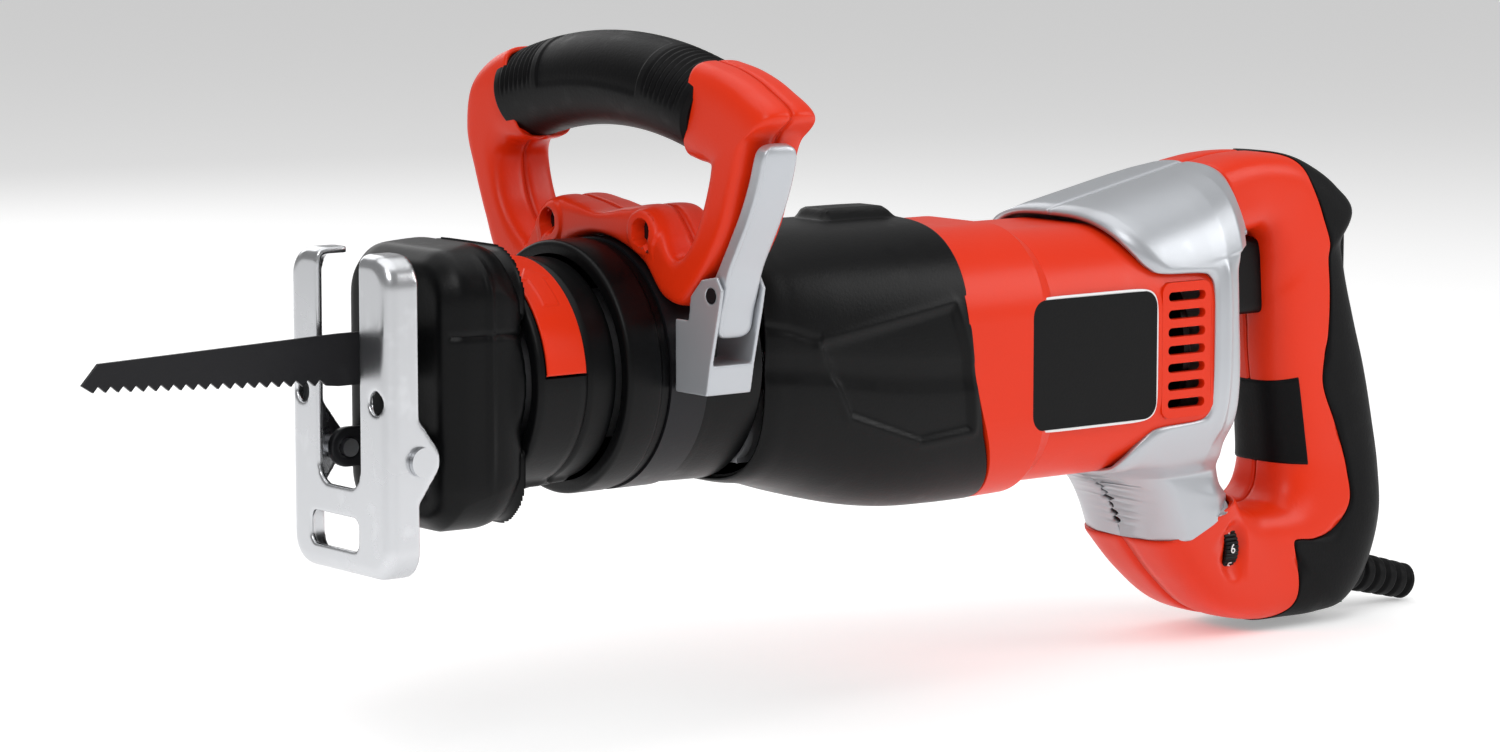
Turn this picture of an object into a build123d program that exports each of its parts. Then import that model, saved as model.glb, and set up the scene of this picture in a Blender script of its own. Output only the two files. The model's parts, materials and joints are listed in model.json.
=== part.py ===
"""Reciprocating saw, modelled in place in millimetres.

X = 0 is the shoe's front face, and +X runs out along the blade.
Z = 0 is the blade line, and +Z is up.
Y = 0 is the middle plane, and +Y is the side that carries the clamp lever.
"""

import math
import os

from build123d import *

# Clearances.
GAP = 0.3  # between bodies that move past each other
FIT = 0.05  # radial running fit of a shaft, a pin or a bearing
SEAM = 0.1  # between covers of one body that meet

# Drive.
STROKE = 28
PINION_TEETH = 9
GEAR_TEETH = 45
TOOTH_PITCH_RADIUS = 32.5  # crown gear radius at which the pinion runs
TOOTH_FACE = 5
PINION_RADIUS = TOOTH_PITCH_RADIUS * PINION_TEETH / GEAR_TEETH
GEAR_RADIUS = TOOTH_PITCH_RADIUS + 3.5
GEAR_X = -182
MOTOR_Z = -18
GEAR_SHAFT_RADIUS = 4
CRANK_PIN_RADIUS = 3
ROLLER_RADIUS = 6
YOKE_PLAY = 0.22 * STROKE / 2 + GAP  # room for the crank's sine beside an even slide
BEARING_RADIUS = 11

# Plunger, clamp and blade.
PLUNGER_RADIUS = 6.5
CLAMP_RADIUS = 11.5
CLAMP_FRONT = -30
CLAMP_LENGTH = 26
BLADE_REACH = 94
BLADE_HEIGHT = 17
BLADE_THICKNESS = 1.2
BLADE_TOOTH_PITCH = 4.5
BLADE_TOOTH_DEPTH = 2.2

# Nose, collar and barrel, all about one line below the blade line.
BARREL_Z = -9
TUBE_RADIUS = 25
TUBE_FRONT = -40
TUBE_BACK = -142
NOSE_FRONT = -21.5
NOSE_BACK = -52
COLLAR_RADIUS = 38
COLLAR_LENGTH = 32
BARREL_RADIUS = 42.5
COVER_WALL = 3

# Shoe.
SHOE_WIDTH = 58
SHOE_TOP = 35
SHOE_BOTTOM = -69.5
SHOE_DEPTH = 12
SHOE_PLATE = 2.2
SHOE_SLOT = 24
PIVOT_X = -12.6
PIVOT_Z = -31
RIVET_RADIUS = 3
EAR_RADIUS = 7.6

# Front handle: a hoop square to the barrel.
HOOP_FRONT = -102
HOOP_DEPTH = 26
GRIP_RADIUS = 16
HOOP_SCREW_Y = 26.3
HOOP_SCREW_Z = 37
LEVER_WIDTH = 15
LEVER_PIN_Y = 63
LEVER_PIN_Z = 19
LEVER_PIN_RADIUS = 2.5
STRAP_WIDTH = 15
STRAP_THICKNESS = 1.5

# Motor.
MOTOR_HALF_WIDTH = 44
MOTOR_HEIGHT = 90
MOTOR_BACK = -350
STATOR_RADIUS = 40.5
STATOR_FRONT = -256
STATOR_LENGTH = 46
ARMATURE_RADIUS = 23
SHAFT_RADIUS = 5
FRONT_BEARING_RADIUS = 13
REAR_BEARING_RADIUS = 9.5
FAN_RADIUS = 37
COMMUTATOR_RADIUS = 13
COMMUTATOR_FRONT = -316
COMMUTATOR_LENGTH = 16

# Rear handle.
YOKE_HALF_WIDTH = 28
GRIP_HALF_WIDTH = 18
BASE_HALF_WIDTH = 23
BASE_Z = -128
TRIGGER_TRAVEL = 6
DIAL_X = -375
DIAL_Z = -97
DIAL_RADIUS = 10
DIAL_WIDTH = 7
CORD_RADIUS = 4
SLEEVE_LENGTH = 42

COLLAR_FRONT = NOSE_BACK - 0.5
COLLAR_BACK = COLLAR_FRONT - COLLAR_LENGTH
BARREL_FRONT = COLLAR_BACK - 0.5
BARREL_BACK = TUBE_BACK + 1.2
CLAMP_BACK = CLAMP_FRONT - CLAMP_LENGTH
CRANK_PIN_X = GEAR_X + STROKE / 2
HOOP_BACK = HOOP_FRONT - HOOP_DEPTH
HOOP_MIDDLE = HOOP_FRONT - HOOP_DEPTH / 2
MOTOR_TOP = MOTOR_Z + MOTOR_HEIGHT / 2
MOTOR_BOTTOM = MOTOR_Z - MOTOR_HEIGHT / 2


def rings(steps, y=0.0, z=0.0):
    """Add turned steps about a line along X: front, back, outer radius, bore radius."""
    for front, back, outer, bore in steps:
        with BuildSketch(Plane.YZ.offset(back)) as ring:
            with Locations((y, z)):
                Circle(outer)
                if bore:
                    Circle(bore, mode=Mode.SUBTRACT)
        extrude(ring.sketch, amount=front - back)


def posts(steps, x, y=0.0):
    """Add turned steps about an upright line: top, bottom, outer radius, bore radius."""
    for top, bottom, outer, bore in steps:
        with BuildSketch(Plane.XY.offset(bottom)) as ring:
            with Locations((x, y)):
                Circle(outer)
                if bore:
                    Circle(bore, mode=Mode.SUBTRACT)
        extrude(ring.sketch, amount=top - bottom)


def pins(places, radius, low, high):
    """Pins that run across the saw, from low to high in Y, at each (x, z)."""
    with BuildPart() as made:
        with BuildSketch(Plane.XZ.offset(-high)):
            with Locations(*places):
                Circle(radius)
        extrude(amount=high - low)
    return made.part


def stations(sizes, inset=0.0):
    """Rounded sections square to X: x, top, bottom, half width, corner radius."""
    faces = []
    for x, top, bottom, half, corner in sizes:
        with BuildSketch(Plane.YZ.offset(x)) as section:
            with Locations((0, (top + bottom) / 2)):
                RectangleRounded(2 * (half - inset), top - bottom - 2 * inset, corner - inset)
        faces.append(section.sketch)
    return faces


def side_plate(points, low, high):
    """A plate cut to a side outline of (x, z) points, from low to high in Y."""
    with BuildPart() as made:
        with BuildSketch(Plane.XZ.offset(-high)):
            with BuildLine():
                Polyline(*points, close=True)
            make_face()
        extrude(amount=high - low)
    return made.part


def half(shell, side):
    """One side of a shell that is parted on the middle plane."""
    with BuildPart() as made:
        add(shell)
        with BuildSketch(Plane.XZ):
            with Locations((-300, 0)):
                Rectangle(600, 400)
        toward = (0, 1, 0) if side == "left" else (0, -1, 0)
        extrude(amount=100, dir=toward, mode=Mode.INTERSECT, clean=False)
    return made.part


def frame_screw_sketch(x, radius):
    """The four screws that hold the gear frame to the front tube."""
    with BuildSketch(Plane.YZ.offset(x)) as made:
        with Locations((0, BARREL_Z)):
            with GridLocations(FRAME_SCREW_SPREAD, FRAME_SCREW_SPREAD, 2, 2):
                Circle(radius)
    return made.sketch


def post_screw_sketch(z, radius):
    """The two screws that hold the shoe post under the front tube."""
    with BuildSketch(Plane.XY.offset(z)) as made:
        with Locations((POST_SCREW_X, 0)):
            with GridLocations(1, POST_SCREW_SPREAD, 1, 2):
                Circle(radius)
    return made.sketch


def sector(x, inner, outer, start, end, z):
    """Ring sector square to X, between two angles from +Y towards +Z."""
    reach = 2 * outer
    angles = [math.radians(start + (end - start) * step / 3) for step in range(4)]
    with BuildSketch(Plane.YZ.offset(x)) as made:
        with Locations((0, z)):
            Circle(outer)
            Circle(inner, mode=Mode.SUBTRACT)
        with BuildLine():
            rim = [(reach * math.cos(angle), z + reach * math.sin(angle)) for angle in angles]
            Polyline((0, z), *rim, close=True)
        make_face(mode=Mode.INTERSECT)
    return made.sketch


pieces = []

# ---------------------------------------------------------------- blade and plunger
TIP = BLADE_REACH
HALF_BLADE = BLADE_HEIGHT / 2
TOOTH_COUNT = int((TIP - 6) / BLADE_TOOTH_PITCH)
SHANK_HALF = 5
SHANK_BACK = CLAMP_FRONT - 18
CLAMP_PIN_X = CLAMP_FRONT - 10

with BuildPart() as blade:
    with BuildSketch(Plane.XZ):
        with BuildLine():
            outline = [(SHANK_BACK, -SHANK_HALF), (SHANK_BACK, SHANK_HALF), (CLAMP_FRONT + 6, SHANK_HALF)]
            outline += [(CLAMP_FRONT + 9, HALF_BLADE), (0, HALF_BLADE)]
            outline += [(TIP - 6, HALF_BLADE - 3), (TIP, -1), (TIP - 4, -3.5)]
            for tooth in range(TOOTH_COUNT):
                x = TIP - 4 - tooth * BLADE_TOOTH_PITCH
                point_z = -HALF_BLADE + 5 * (x / TIP)
                outline.append((x - 0.4 * BLADE_TOOTH_PITCH, point_z + BLADE_TOOTH_DEPTH))
                outline.append((x - BLADE_TOOTH_PITCH, point_z))
            outline += [(0, -HALF_BLADE), (CLAMP_FRONT + 9, -HALF_BLADE), (CLAMP_FRONT + 6, -SHANK_HALF)]
            Polyline(*outline, close=True)
        make_face()
        with Locations((CLAMP_PIN_X, 0)):
            Circle(2 + FIT, mode=Mode.SUBTRACT)
    extrude(amount=BLADE_THICKNESS / 2, both=True)
blade.part.label = "blade"
pieces.append(blade)

SPIGOT_RADIUS = 5
SPIGOT_LENGTH = 6

with BuildPart() as blade_clamp:
    rings([(CLAMP_FRONT, CLAMP_BACK, CLAMP_RADIUS, 0)])
    chamfer(blade_clamp.edges().filter_by(GeomType.CIRCLE).sort_by(Axis.X)[-1], 1.5)
    with BuildSketch(Plane.YZ.offset(CLAMP_BACK)):
        Circle(SPIGOT_RADIUS + FIT)
    extrude(amount=SPIGOT_LENGTH + SEAM, mode=Mode.SUBTRACT)
    with BuildSketch(Plane.YZ.offset(SHANK_BACK - SEAM)):
        Rectangle(BLADE_THICKNESS + 2 * SEAM, 2 * (SHANK_HALF + SEAM))
    extrude(amount=40, mode=Mode.SUBTRACT)
    with BuildSketch(Plane.XZ):
        with Locations((CLAMP_PIN_X, 0)):
            Circle(2 + FIT)
    extrude(amount=CLAMP_RADIUS, both=True, mode=Mode.SUBTRACT)
blade_clamp.part.label = "blade_clamp"
pieces.append(blade_clamp)

with BuildPart() as clamp_pin:
    add(pins([(CLAMP_PIN_X, 0)], 2, -CLAMP_RADIUS + 1, CLAMP_RADIUS - 1))
clamp_pin.part.label = "clamp_pin"
pieces.append(clamp_pin)

SLOT_HALF = ROLLER_RADIUS + YOKE_PLAY
YOKE_HALF = SLOT_HALF + 4
SLOT_REACH = STROKE / 2 + ROLLER_RADIUS + 1
YOKE_BOTTOM = -PLUNGER_RADIUS
YOKE_TOP = 6

with BuildPart() as plunger:
    rings([(CLAMP_BACK, CRANK_PIN_X + YOKE_HALF - 1, PLUNGER_RADIUS, 0)])
    rings([(CLAMP_BACK + SPIGOT_LENGTH, CLAMP_BACK, SPIGOT_RADIUS, 0)])
    with BuildSketch(Plane.XY.offset(YOKE_BOTTOM)):
        with Locations((CRANK_PIN_X, 0)):
            RectangleRounded(2 * YOKE_HALF, 2 * (SLOT_REACH + 5), 3)
            SlotOverall(2 * SLOT_REACH, 2 * SLOT_HALF, rotation=90, mode=Mode.SUBTRACT)
    extrude(amount=YOKE_TOP - YOKE_BOTTOM)
plunger.part.label = "plunger"
pieces.append(plunger)

# ---------------------------------------------------------------- crank gear
PINION_TIP = PINION_RADIUS + 1.1
PINION_ROOT = PINION_RADIUS - 1.6
GEAR_FACE_Z = MOTOR_Z + PINION_TIP + 0.4
TOOTH_TIP_Z = MOTOR_Z + PINION_ROOT + 0.5
GEAR_TOP_Z = YOKE_BOTTOM - 0.5
TOOTH_THICKNESS = 1.2

with BuildPart() as crank_gear:
    posts([(GEAR_TOP_Z, GEAR_FACE_Z, GEAR_RADIUS, GEAR_SHAFT_RADIUS)], GEAR_X)
    posts([(GEAR_FACE_Z, MOTOR_Z + 1.5, 9, GEAR_SHAFT_RADIUS)], GEAR_X)
    with BuildSketch(Plane.XY.offset(TOOTH_TIP_Z)):
        with Locations((GEAR_X, 0)):
            with PolarLocations(TOOTH_PITCH_RADIUS, GEAR_TEETH, start_angle=180 / GEAR_TEETH + 180):
                Rectangle(TOOTH_FACE, TOOTH_THICKNESS)
    extrude(amount=GEAR_FACE_Z - TOOTH_TIP_Z)
    with BuildSketch(Plane.XY.offset(GEAR_FACE_Z)):
        with Locations((CRANK_PIN_X, 0)):
            Circle(CRANK_PIN_RADIUS)
    extrude(amount=GEAR_TOP_Z - GEAR_FACE_Z, mode=Mode.SUBTRACT)
crank_gear.part.label = "crank_gear"
pieces.append(crank_gear)

GEAR_SHAFT_BOTTOM = -42

with BuildPart() as gear_shaft:
    posts([(GEAR_TOP_Z, GEAR_SHAFT_BOTTOM, GEAR_SHAFT_RADIUS, 0)], GEAR_X)
gear_shaft.part.label = "gear_shaft"
pieces.append(gear_shaft)

with BuildPart() as crank_pin:
    posts([(YOKE_TOP + 1, GEAR_FACE_Z, CRANK_PIN_RADIUS, 0)], CRANK_PIN_X)
crank_pin.part.label = "crank_pin"
pieces.append(crank_pin)

with BuildPart() as crank_roller:
    posts([(YOKE_TOP - 0.5, YOKE_BOTTOM + 0.3, ROLLER_RADIUS, CRANK_PIN_RADIUS + FIT)], CRANK_PIN_X)
crank_roller.part.label = "crank_roller"
pieces.append(crank_roller)

UPPER_BEARING_TOP = -17
BEARING_WIDTH = 7
LOWER_BEARING_TOP = -33

with BuildPart() as gear_bearings:
    for top in (UPPER_BEARING_TOP, LOWER_BEARING_TOP):
        posts([(top, top - BEARING_WIDTH, BEARING_RADIUS, GEAR_SHAFT_RADIUS + FIT)], GEAR_X)
gear_bearings.part.label = "gear_bearings"
pieces.append(gear_bearings)

# ---------------------------------------------------------------- gear frame and front tube
FRAME_SCREW_SPREAD = 36
POST_SCREW_X = -44.2
POST_SCREW_SPREAD = 14
FRAME_FRONT = TUBE_BACK - SEAM
FRAME_WALL = 3
FRAME_BACK = -231
FRONT_BEARING_FRONT = -222.5
FRONT_BEARING_WIDTH = 8
FLOOR_Z = -43.5
FLOOR_HALF = 26
RIB = 3
BOSS_TOP = UPPER_BEARING_TOP + 0.5

with BuildPart() as gear_frame:
    with BuildSketch(Plane.YZ.offset(FRAME_FRONT - FRAME_WALL)):
        with Locations((0, BARREL_Z)):
            RectangleRounded(62, 70, 12)
        Circle(PLUNGER_RADIUS + 1, mode=Mode.SUBTRACT)
    extrude(amount=FRAME_WALL)
    rings([(-222, FRAME_BACK, STATOR_RADIUS - 1, FRONT_BEARING_RADIUS + FIT)], z=MOTOR_Z)
    with BuildSketch(Plane.XY.offset(FLOOR_Z)):
        with Locations(((FRAME_FRONT + FRAME_BACK) / 2, 0)):
            Rectangle(FRAME_FRONT - FRAME_BACK, 2 * FLOOR_HALF)
    extrude(amount=4)
    with BuildSketch(Plane.XY.offset(FLOOR_Z)):
        with Locations(((FRAME_FRONT + FRAME_BACK) / 2, 0)):
            with GridLocations(1, 2 * FLOOR_HALF - RIB, 1, 2):
                Rectangle(FRAME_FRONT - FRAME_BACK, RIB)
    extrude(amount=24)
    posts([(BOSS_TOP, FLOOR_Z, BEARING_RADIUS + 3.5, 0)], GEAR_X)
    with BuildSketch(Plane.XY.offset(LOWER_BEARING_TOP - BEARING_WIDTH)):
        with Locations((GEAR_X, 0)):
            Circle(BEARING_RADIUS + FIT)
    extrude(amount=BOSS_TOP - LOWER_BEARING_TOP + BEARING_WIDTH, mode=Mode.SUBTRACT)
    with BuildSketch(Plane.XY.offset(GEAR_SHAFT_BOTTOM - 0.5)):
        with Locations((GEAR_X, 0)):
            Circle(GEAR_SHAFT_RADIUS + 1)
    extrude(amount=5, mode=Mode.SUBTRACT)
    extrude(frame_screw_sketch(FRAME_FRONT - FRAME_WALL - 1, 2.5 + FIT), amount=9, mode=Mode.SUBTRACT)
gear_frame.part.label = "gear_frame"
pieces.append(gear_frame)

BUSHING_RADIUS = 10
CLAMP_BORE = CLAMP_RADIUS + 1.5
CLAMP_BORE_BACK = CLAMP_BACK - STROKE - 2

with BuildPart() as front_tube:
    rings([(TUBE_FRONT, TUBE_BACK, TUBE_RADIUS, 0), (TUBE_BACK + 6, TUBE_BACK, 35, 0)], z=BARREL_Z)
    tube_bores = ((TUBE_FRONT, CLAMP_BORE_BACK, CLAMP_BORE), (TUBE_FRONT, TUBE_BACK, BUSHING_RADIUS))
    for front, back, radius in tube_bores:
        with BuildSketch(Plane.YZ.offset(back)):
            Circle(radius)
        extrude(amount=front - back, mode=Mode.SUBTRACT)
    extrude(frame_screw_sketch(TUBE_BACK - 1, 2.5 + FIT), amount=7 + SEAM, mode=Mode.SUBTRACT)
    extrude(post_screw_sketch(BARREL_Z - TUBE_RADIUS - 1, 2 + FIT), amount=7, mode=Mode.SUBTRACT)
front_tube.part.label = "front_tube"
pieces.append(front_tube)

with BuildPart() as plunger_bushings:
    for front in (CLAMP_BORE_BACK - 2, TUBE_BACK + 22):
        rings([(front, front - 16, BUSHING_RADIUS - FIT, PLUNGER_RADIUS + FIT)])
plunger_bushings.part.label = "plunger_bushings"
pieces.append(plunger_bushings)

with BuildPart() as plunger_seal:
    rings([(TUBE_BACK + 5, TUBE_BACK + 2, BUSHING_RADIUS - FIT, PLUNGER_RADIUS + 0.08)])
plunger_seal.part.label = "plunger_seal"
pieces.append(plunger_seal)

with BuildPart() as frame_screws:
    extrude(frame_screw_sketch(FRAME_FRONT - FRAME_WALL - 3, 4), amount=3 - SEAM)
    extrude(frame_screw_sketch(FRAME_FRONT - FRAME_WALL - 1, 2.5), amount=FRAME_WALL + 6)
frame_screws.part.label = "frame_screws"
pieces.append(frame_screws)

# ---------------------------------------------------------------- nose and shoe
NOSE_SIZES = [
    (NOSE_FRONT, 30, -52, 26, 12),
    (NOSE_FRONT - 6, 35, -57, 31, 16),
    (NOSE_BACK, 37, -58, 33, 18),
]
POST_LEG_Y = SHOE_SLOT / 2 + 1.5
POST_LEG = 3
POST_TOP = BARREL_Z - TUBE_RADIUS - SEAM
POST_WEB = 3
SEAT_DEPTH = 12  # how far the nose cover grips the front tube
NOSE_FLANGE = 36

with BuildPart() as nose_cover:
    loft(stations(NOSE_SIZES), ruled=True)
    nose_room = [(NOSE_FRONT - COVER_WALL, *NOSE_SIZES[0][1:]), *NOSE_SIZES[1:]]
    loft(stations(nose_room, COVER_WALL), ruled=True, mode=Mode.SUBTRACT)
    with BuildSketch(Plane.YZ.offset(NOSE_FRONT - 2 * COVER_WALL)):
        RectangleRounded(12, BLADE_HEIGHT + 9, 3)
        with Locations((0, PIVOT_Z)):
            RectangleRounded(2 * (POST_LEG_Y + POST_LEG) + 2, 2 * EAR_RADIUS + 2, 2)
    extrude(amount=3 * COVER_WALL, mode=Mode.SUBTRACT)
    nose_seat = TUBE_RADIUS + FIT
    rings([(NOSE_BACK + SEAT_DEPTH, NOSE_BACK, TUBE_RADIUS + COVER_WALL, nose_seat)], z=BARREL_Z)
    rings([(NOSE_BACK + COVER_WALL, NOSE_BACK, NOSE_FLANGE, nose_seat)], z=BARREL_Z)
    slot_back = NOSE_BACK + COVER_WALL + 0.5
    slot_top = POST_TOP + POST_WEB
    slot_low = POST_TOP - 3 * POST_WEB
    post_slot = [(slot_back, slot_top), (0, slot_top), (0, slot_low), (slot_back, slot_low)]
    slot_half = POST_LEG_Y + POST_LEG + 1
    add(side_plate(post_slot, -slot_half, slot_half), mode=Mode.SUBTRACT)
nose_cover.part.label = "nose_cover"
pieces.append(nose_cover)

POST_BACK = NOSE_BACK + 4
LEG_RADIUS = EAR_RADIUS - 1

with BuildPart() as shoe_post:
    for side in (-1, 1):
        middle = side * (POST_LEG_Y + POST_LEG / 2)
        web_low = POST_TOP - POST_WEB
        leg = [
            (PIVOT_X, PIVOT_Z + LEG_RADIUS),
            (TUBE_FRONT + 2, PIVOT_Z + LEG_RADIUS),
            (TUBE_FRONT + 2, POST_TOP),
            (POST_BACK, POST_TOP),
            (POST_BACK, web_low),
            (TUBE_FRONT + 2, web_low),
            (PIVOT_X, PIVOT_Z - LEG_RADIUS),
        ]
        add(side_plate(leg, middle - POST_LEG / 2, middle + POST_LEG / 2))
        add(pins([(PIVOT_X, PIVOT_Z)], LEG_RADIUS, middle - POST_LEG / 2, middle + POST_LEG / 2))
    with BuildSketch(Plane.XY.offset(web_low)):
        with Locations(((POST_BACK + TUBE_FRONT) / 2, 0)):
            Rectangle(TUBE_FRONT - POST_BACK, 2 * POST_LEG_Y + 1)
    extrude(amount=POST_WEB)
    add(pins([(PIVOT_X, PIVOT_Z)], RIVET_RADIUS + FIT, -40, 40), mode=Mode.SUBTRACT)
    extrude(post_screw_sketch(web_low - 1, 2 + FIT), amount=POST_WEB + 2, mode=Mode.SUBTRACT)
shoe_post.part.label = "shoe_post"
pieces.append(shoe_post)

with BuildPart() as post_screws:
    extrude(post_screw_sketch(web_low - 2.5, 3.5), amount=2.5 - SEAM)
    extrude(post_screw_sketch(web_low - 1, 2), amount=POST_WEB + 5)
post_screws.part.label = "post_screws"
pieces.append(post_screws)

SLOT_BOTTOM = -41
SHOE_HOLE_Y = 21.5
SHOE_HOLE_Z = -12

with BuildPart() as shoe:
    with BuildSketch(Plane.YZ.offset(-SHOE_DEPTH)):
        with Locations((0, (SHOE_TOP + SHOE_BOTTOM) / 2)):
            RectangleRounded(SHOE_WIDTH, SHOE_TOP - SHOE_BOTTOM, 10)
    extrude(amount=SHOE_DEPTH)
    fillet(shoe.faces().sort_by(Axis.X)[-1].edges(), 4)
    offset(amount=-SHOE_PLATE, openings=shoe.faces().sort_by(Axis.X)[0])
    for high in (SHOE_WIDTH / 2, SHOE_PLATE - SHOE_WIDTH / 2):
        with BuildSketch(Plane.XZ.offset(-high)):
            with Locations((PIVOT_X, PIVOT_Z)):
                Circle(EAR_RADIUS)
            with Locations((2 - SHOE_DEPTH, PIVOT_Z)):
                Rectangle(2, 4 * EAR_RADIUS)
            make_hull()
        extrude(amount=SHOE_PLATE)
    with BuildSketch(Plane.YZ.offset(-SHOE_DEPTH - 1)):
        with Locations((0, SHOE_TOP)):
            RectangleRounded(SHOE_SLOT, 2 * (SHOE_TOP - SLOT_BOTTOM), 6)
        with Locations((SHOE_HOLE_Y, SHOE_HOLE_Z), (-SHOE_HOLE_Y, SHOE_HOLE_Z)):
            Circle(3.8)
        with Locations((-3, -56)):
            RectangleRounded(28, 11, 3)
    extrude(amount=SHOE_DEPTH + 2, mode=Mode.SUBTRACT)
    add(pins([(PIVOT_X, PIVOT_Z)], RIVET_RADIUS + FIT, -40, 40), mode=Mode.SUBTRACT)
shoe.part.label = "shoe"
pieces.append(shoe)

with BuildPart() as shoe_rivets:
    inner = SHOE_SLOT / 2
    for side in (-1, 1):
        shank = sorted((side * inner, side * (SHOE_WIDTH / 2 + 1)))
        add(pins([(PIVOT_X, PIVOT_Z)], RIVET_RADIUS, *shank))
        head = sorted((side * (SHOE_WIDTH / 2 + SEAM), side * (SHOE_WIDTH / 2 + 2)))
        add(pins([(PIVOT_X, PIVOT_Z)], RIVET_RADIUS + 1.8, *head))
shoe_rivets.part.label = "shoe_rivets"
pieces.append(shoe_rivets)

# ---------------------------------------------------------------- collar and barrel
BAND_START = 4
BAND_END = 104
BAND_DEPTH = 2.5
BAND_FRONT = COLLAR_FRONT - 3
BAND_LENGTH = 16
HUB_BORE = TUBE_RADIUS + GAP

with BuildPart() as release_collar:
    rings([(COLLAR_FRONT, COLLAR_BACK, COLLAR_RADIUS, COLLAR_RADIUS - 5)], z=BARREL_Z)
    chamfer(release_collar.edges().filter_by(GeomType.CIRCLE).sort_by(SortBy.RADIUS)[-2:], 1.5)
    rings([(COLLAR_FRONT - 13, COLLAR_FRONT - 17, COLLAR_RADIUS - 4, HUB_BORE)], z=BARREL_Z)
    rings([(COLLAR_FRONT - 8, COLLAR_BACK + 8, TUBE_RADIUS + 3, HUB_BORE)], z=BARREL_Z)
    band_floor = COLLAR_RADIUS - BAND_DEPTH
    band_back = BAND_FRONT - BAND_LENGTH
    band_cut = sector(band_back, band_floor, COLLAR_RADIUS + 2, BAND_START, BAND_END, BARREL_Z)
    extrude(band_cut, amount=BAND_LENGTH, mode=Mode.SUBTRACT)
    for start in (250, 262, 274, 286):
        rib = sector(COLLAR_BACK + 2, COLLAR_RADIUS - 1, COLLAR_RADIUS + 1.5, start, start + 6, BARREL_Z)
        extrude(rib, amount=COLLAR_LENGTH - 4)
release_collar.part.label = "release_collar"
pieces.append(release_collar)

with BuildPart() as collar_band:
    band_top = COLLAR_RADIUS + 0.5
    ends = (BAND_START + 0.2, BAND_END - 0.2)
    band = sector(band_back + SEAM, band_floor + SEAM, band_top, *ends, BARREL_Z)
    extrude(band, amount=BAND_LENGTH - 2 * SEAM)
collar_band.part.label = "collar_band"
pieces.append(collar_band)

GROOVE_RADIUS = BARREL_RADIUS - STRAP_THICKNESS - 0.4
STRAP_X = HOOP_FRONT - 0.5

with BuildPart() as barrel_sleeve:
    rings([(BARREL_FRONT, BARREL_BACK, BARREL_RADIUS, BARREL_RADIUS - 4.5)], z=BARREL_Z)
    chamfer(barrel_sleeve.edges().filter_by(GeomType.CIRCLE).sort_by(SortBy.RADIUS)[-2:], 1.2)
    for front, seat in ((BARREL_FRONT, TUBE_RADIUS + FIT), (BARREL_BACK + 4, 35 + SEAM)):
        rings([(front, front - 4, BARREL_RADIUS - 4, seat)], z=BARREL_Z)
    with BuildSketch(Plane.YZ.offset(STRAP_X - STRAP_WIDTH - GAP)):
        with Locations((0, BARREL_Z)):
            Circle(BARREL_RADIUS + 1)
            Circle(GROOVE_RADIUS, mode=Mode.SUBTRACT)
    extrude(amount=STRAP_WIDTH + 2 * GAP, mode=Mode.SUBTRACT)
barrel_sleeve.part.label = "barrel_sleeve"
pieces.append(barrel_sleeve)

# ---------------------------------------------------------------- front handle
SADDLE_RADIUS = BARREL_RADIUS + GAP
FOOT_Z = 14
FOOT_Y = math.sqrt(SADDLE_RADIUS**2 - (FOOT_Z - BARREL_Z) ** 2)
GRIP_LOW = (-54, 77.5)
GRIP_MIDDLE = (-2, 86)
GRIP_HIGH = (51, 77.5)
CORE_RADIUS = 11
LEG_OUTER = [
    (-60, 23),
    (-70, 45),
    (-78.5, 66),
    (-76, 81),
    (-62, 91),
    (-30, 98),
    (0, 99),
    (30, 98),
    (64, 92),
    (90, 79),
]
BEAK = [(90, 79), (91.5, 76), (81.5, 73.5)]
LEVER_LEG = [(81.5, 73.5), (76.5, 57), (70.5, 41), (61.5, 28), (55, 24.5)]
SADDLE_TOP = [
    (-45, 30),
    (-40, 28.5),
    (-34, 38),
    (-HOOP_SCREW_Y, 45.5),
    (0, 42),
    (HOOP_SCREW_Y, 45.5),
    (36, 37),
    (42, 30),
    (48, 31),
]
OPENING_TOP = [(57, 62), (50, 61), (25, 67), (-2, 70), (-24, 68.5), (-45, 63), (-57, 59)]

with BuildSketch(Plane.YZ.offset(HOOP_BACK)) as hoop_outline:
    with BuildLine():
        Spline(*LEG_OUTER)
        Polyline(*BEAK)
        Polyline(*LEVER_LEG)
        Polyline(LEVER_LEG[-1], (46, FOOT_Z), (FOOT_Y, FOOT_Z))
        ThreePointArc((FOOT_Y, FOOT_Z), (0, BARREL_Z + SADDLE_RADIUS), (-FOOT_Y, FOOT_Z))
        Polyline((-FOOT_Y, FOOT_Z), (-46, FOOT_Z), LEG_OUTER[0])
    make_face()
    with BuildLine():
        Polyline(*SADDLE_TOP, (55.5, 44), (59, 57), *OPENING_TOP, (-57, 42), close=True)
    make_face(mode=Mode.SUBTRACT)


def grip_bar(radius):
    """A round bar along the grip's arc."""
    with BuildPart() as made:
        with BuildLine(Plane.YZ.offset(HOOP_MIDDLE)) as path:
            ThreePointArc(GRIP_LOW, GRIP_MIDDLE, GRIP_HIGH)
        with BuildSketch(Plane(origin=path.line @ 0, z_dir=path.line % 0)):
            Circle(radius)
        sweep(path=path.line)
    return made.part


with BuildPart() as hoop:
    extrude(hoop_outline.sketch, amount=HOOP_DEPTH)
    chamfer(hoop.faces().filter_by(Axis.X).edges(), 2)
    with BuildSketch(Plane.YZ.offset(HOOP_BACK)):
        with Locations(((GRIP_LOW[0] + GRIP_HIGH[0]) / 2, 84)):
            Rectangle(GRIP_HIGH[0] - GRIP_LOW[0], 48)
    extrude(amount=HOOP_DEPTH, mode=Mode.SUBTRACT)
    add(grip_bar(GRIP_RADIUS + SEAM), mode=Mode.SUBTRACT)
    add(grip_bar(CORE_RADIUS))

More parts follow.
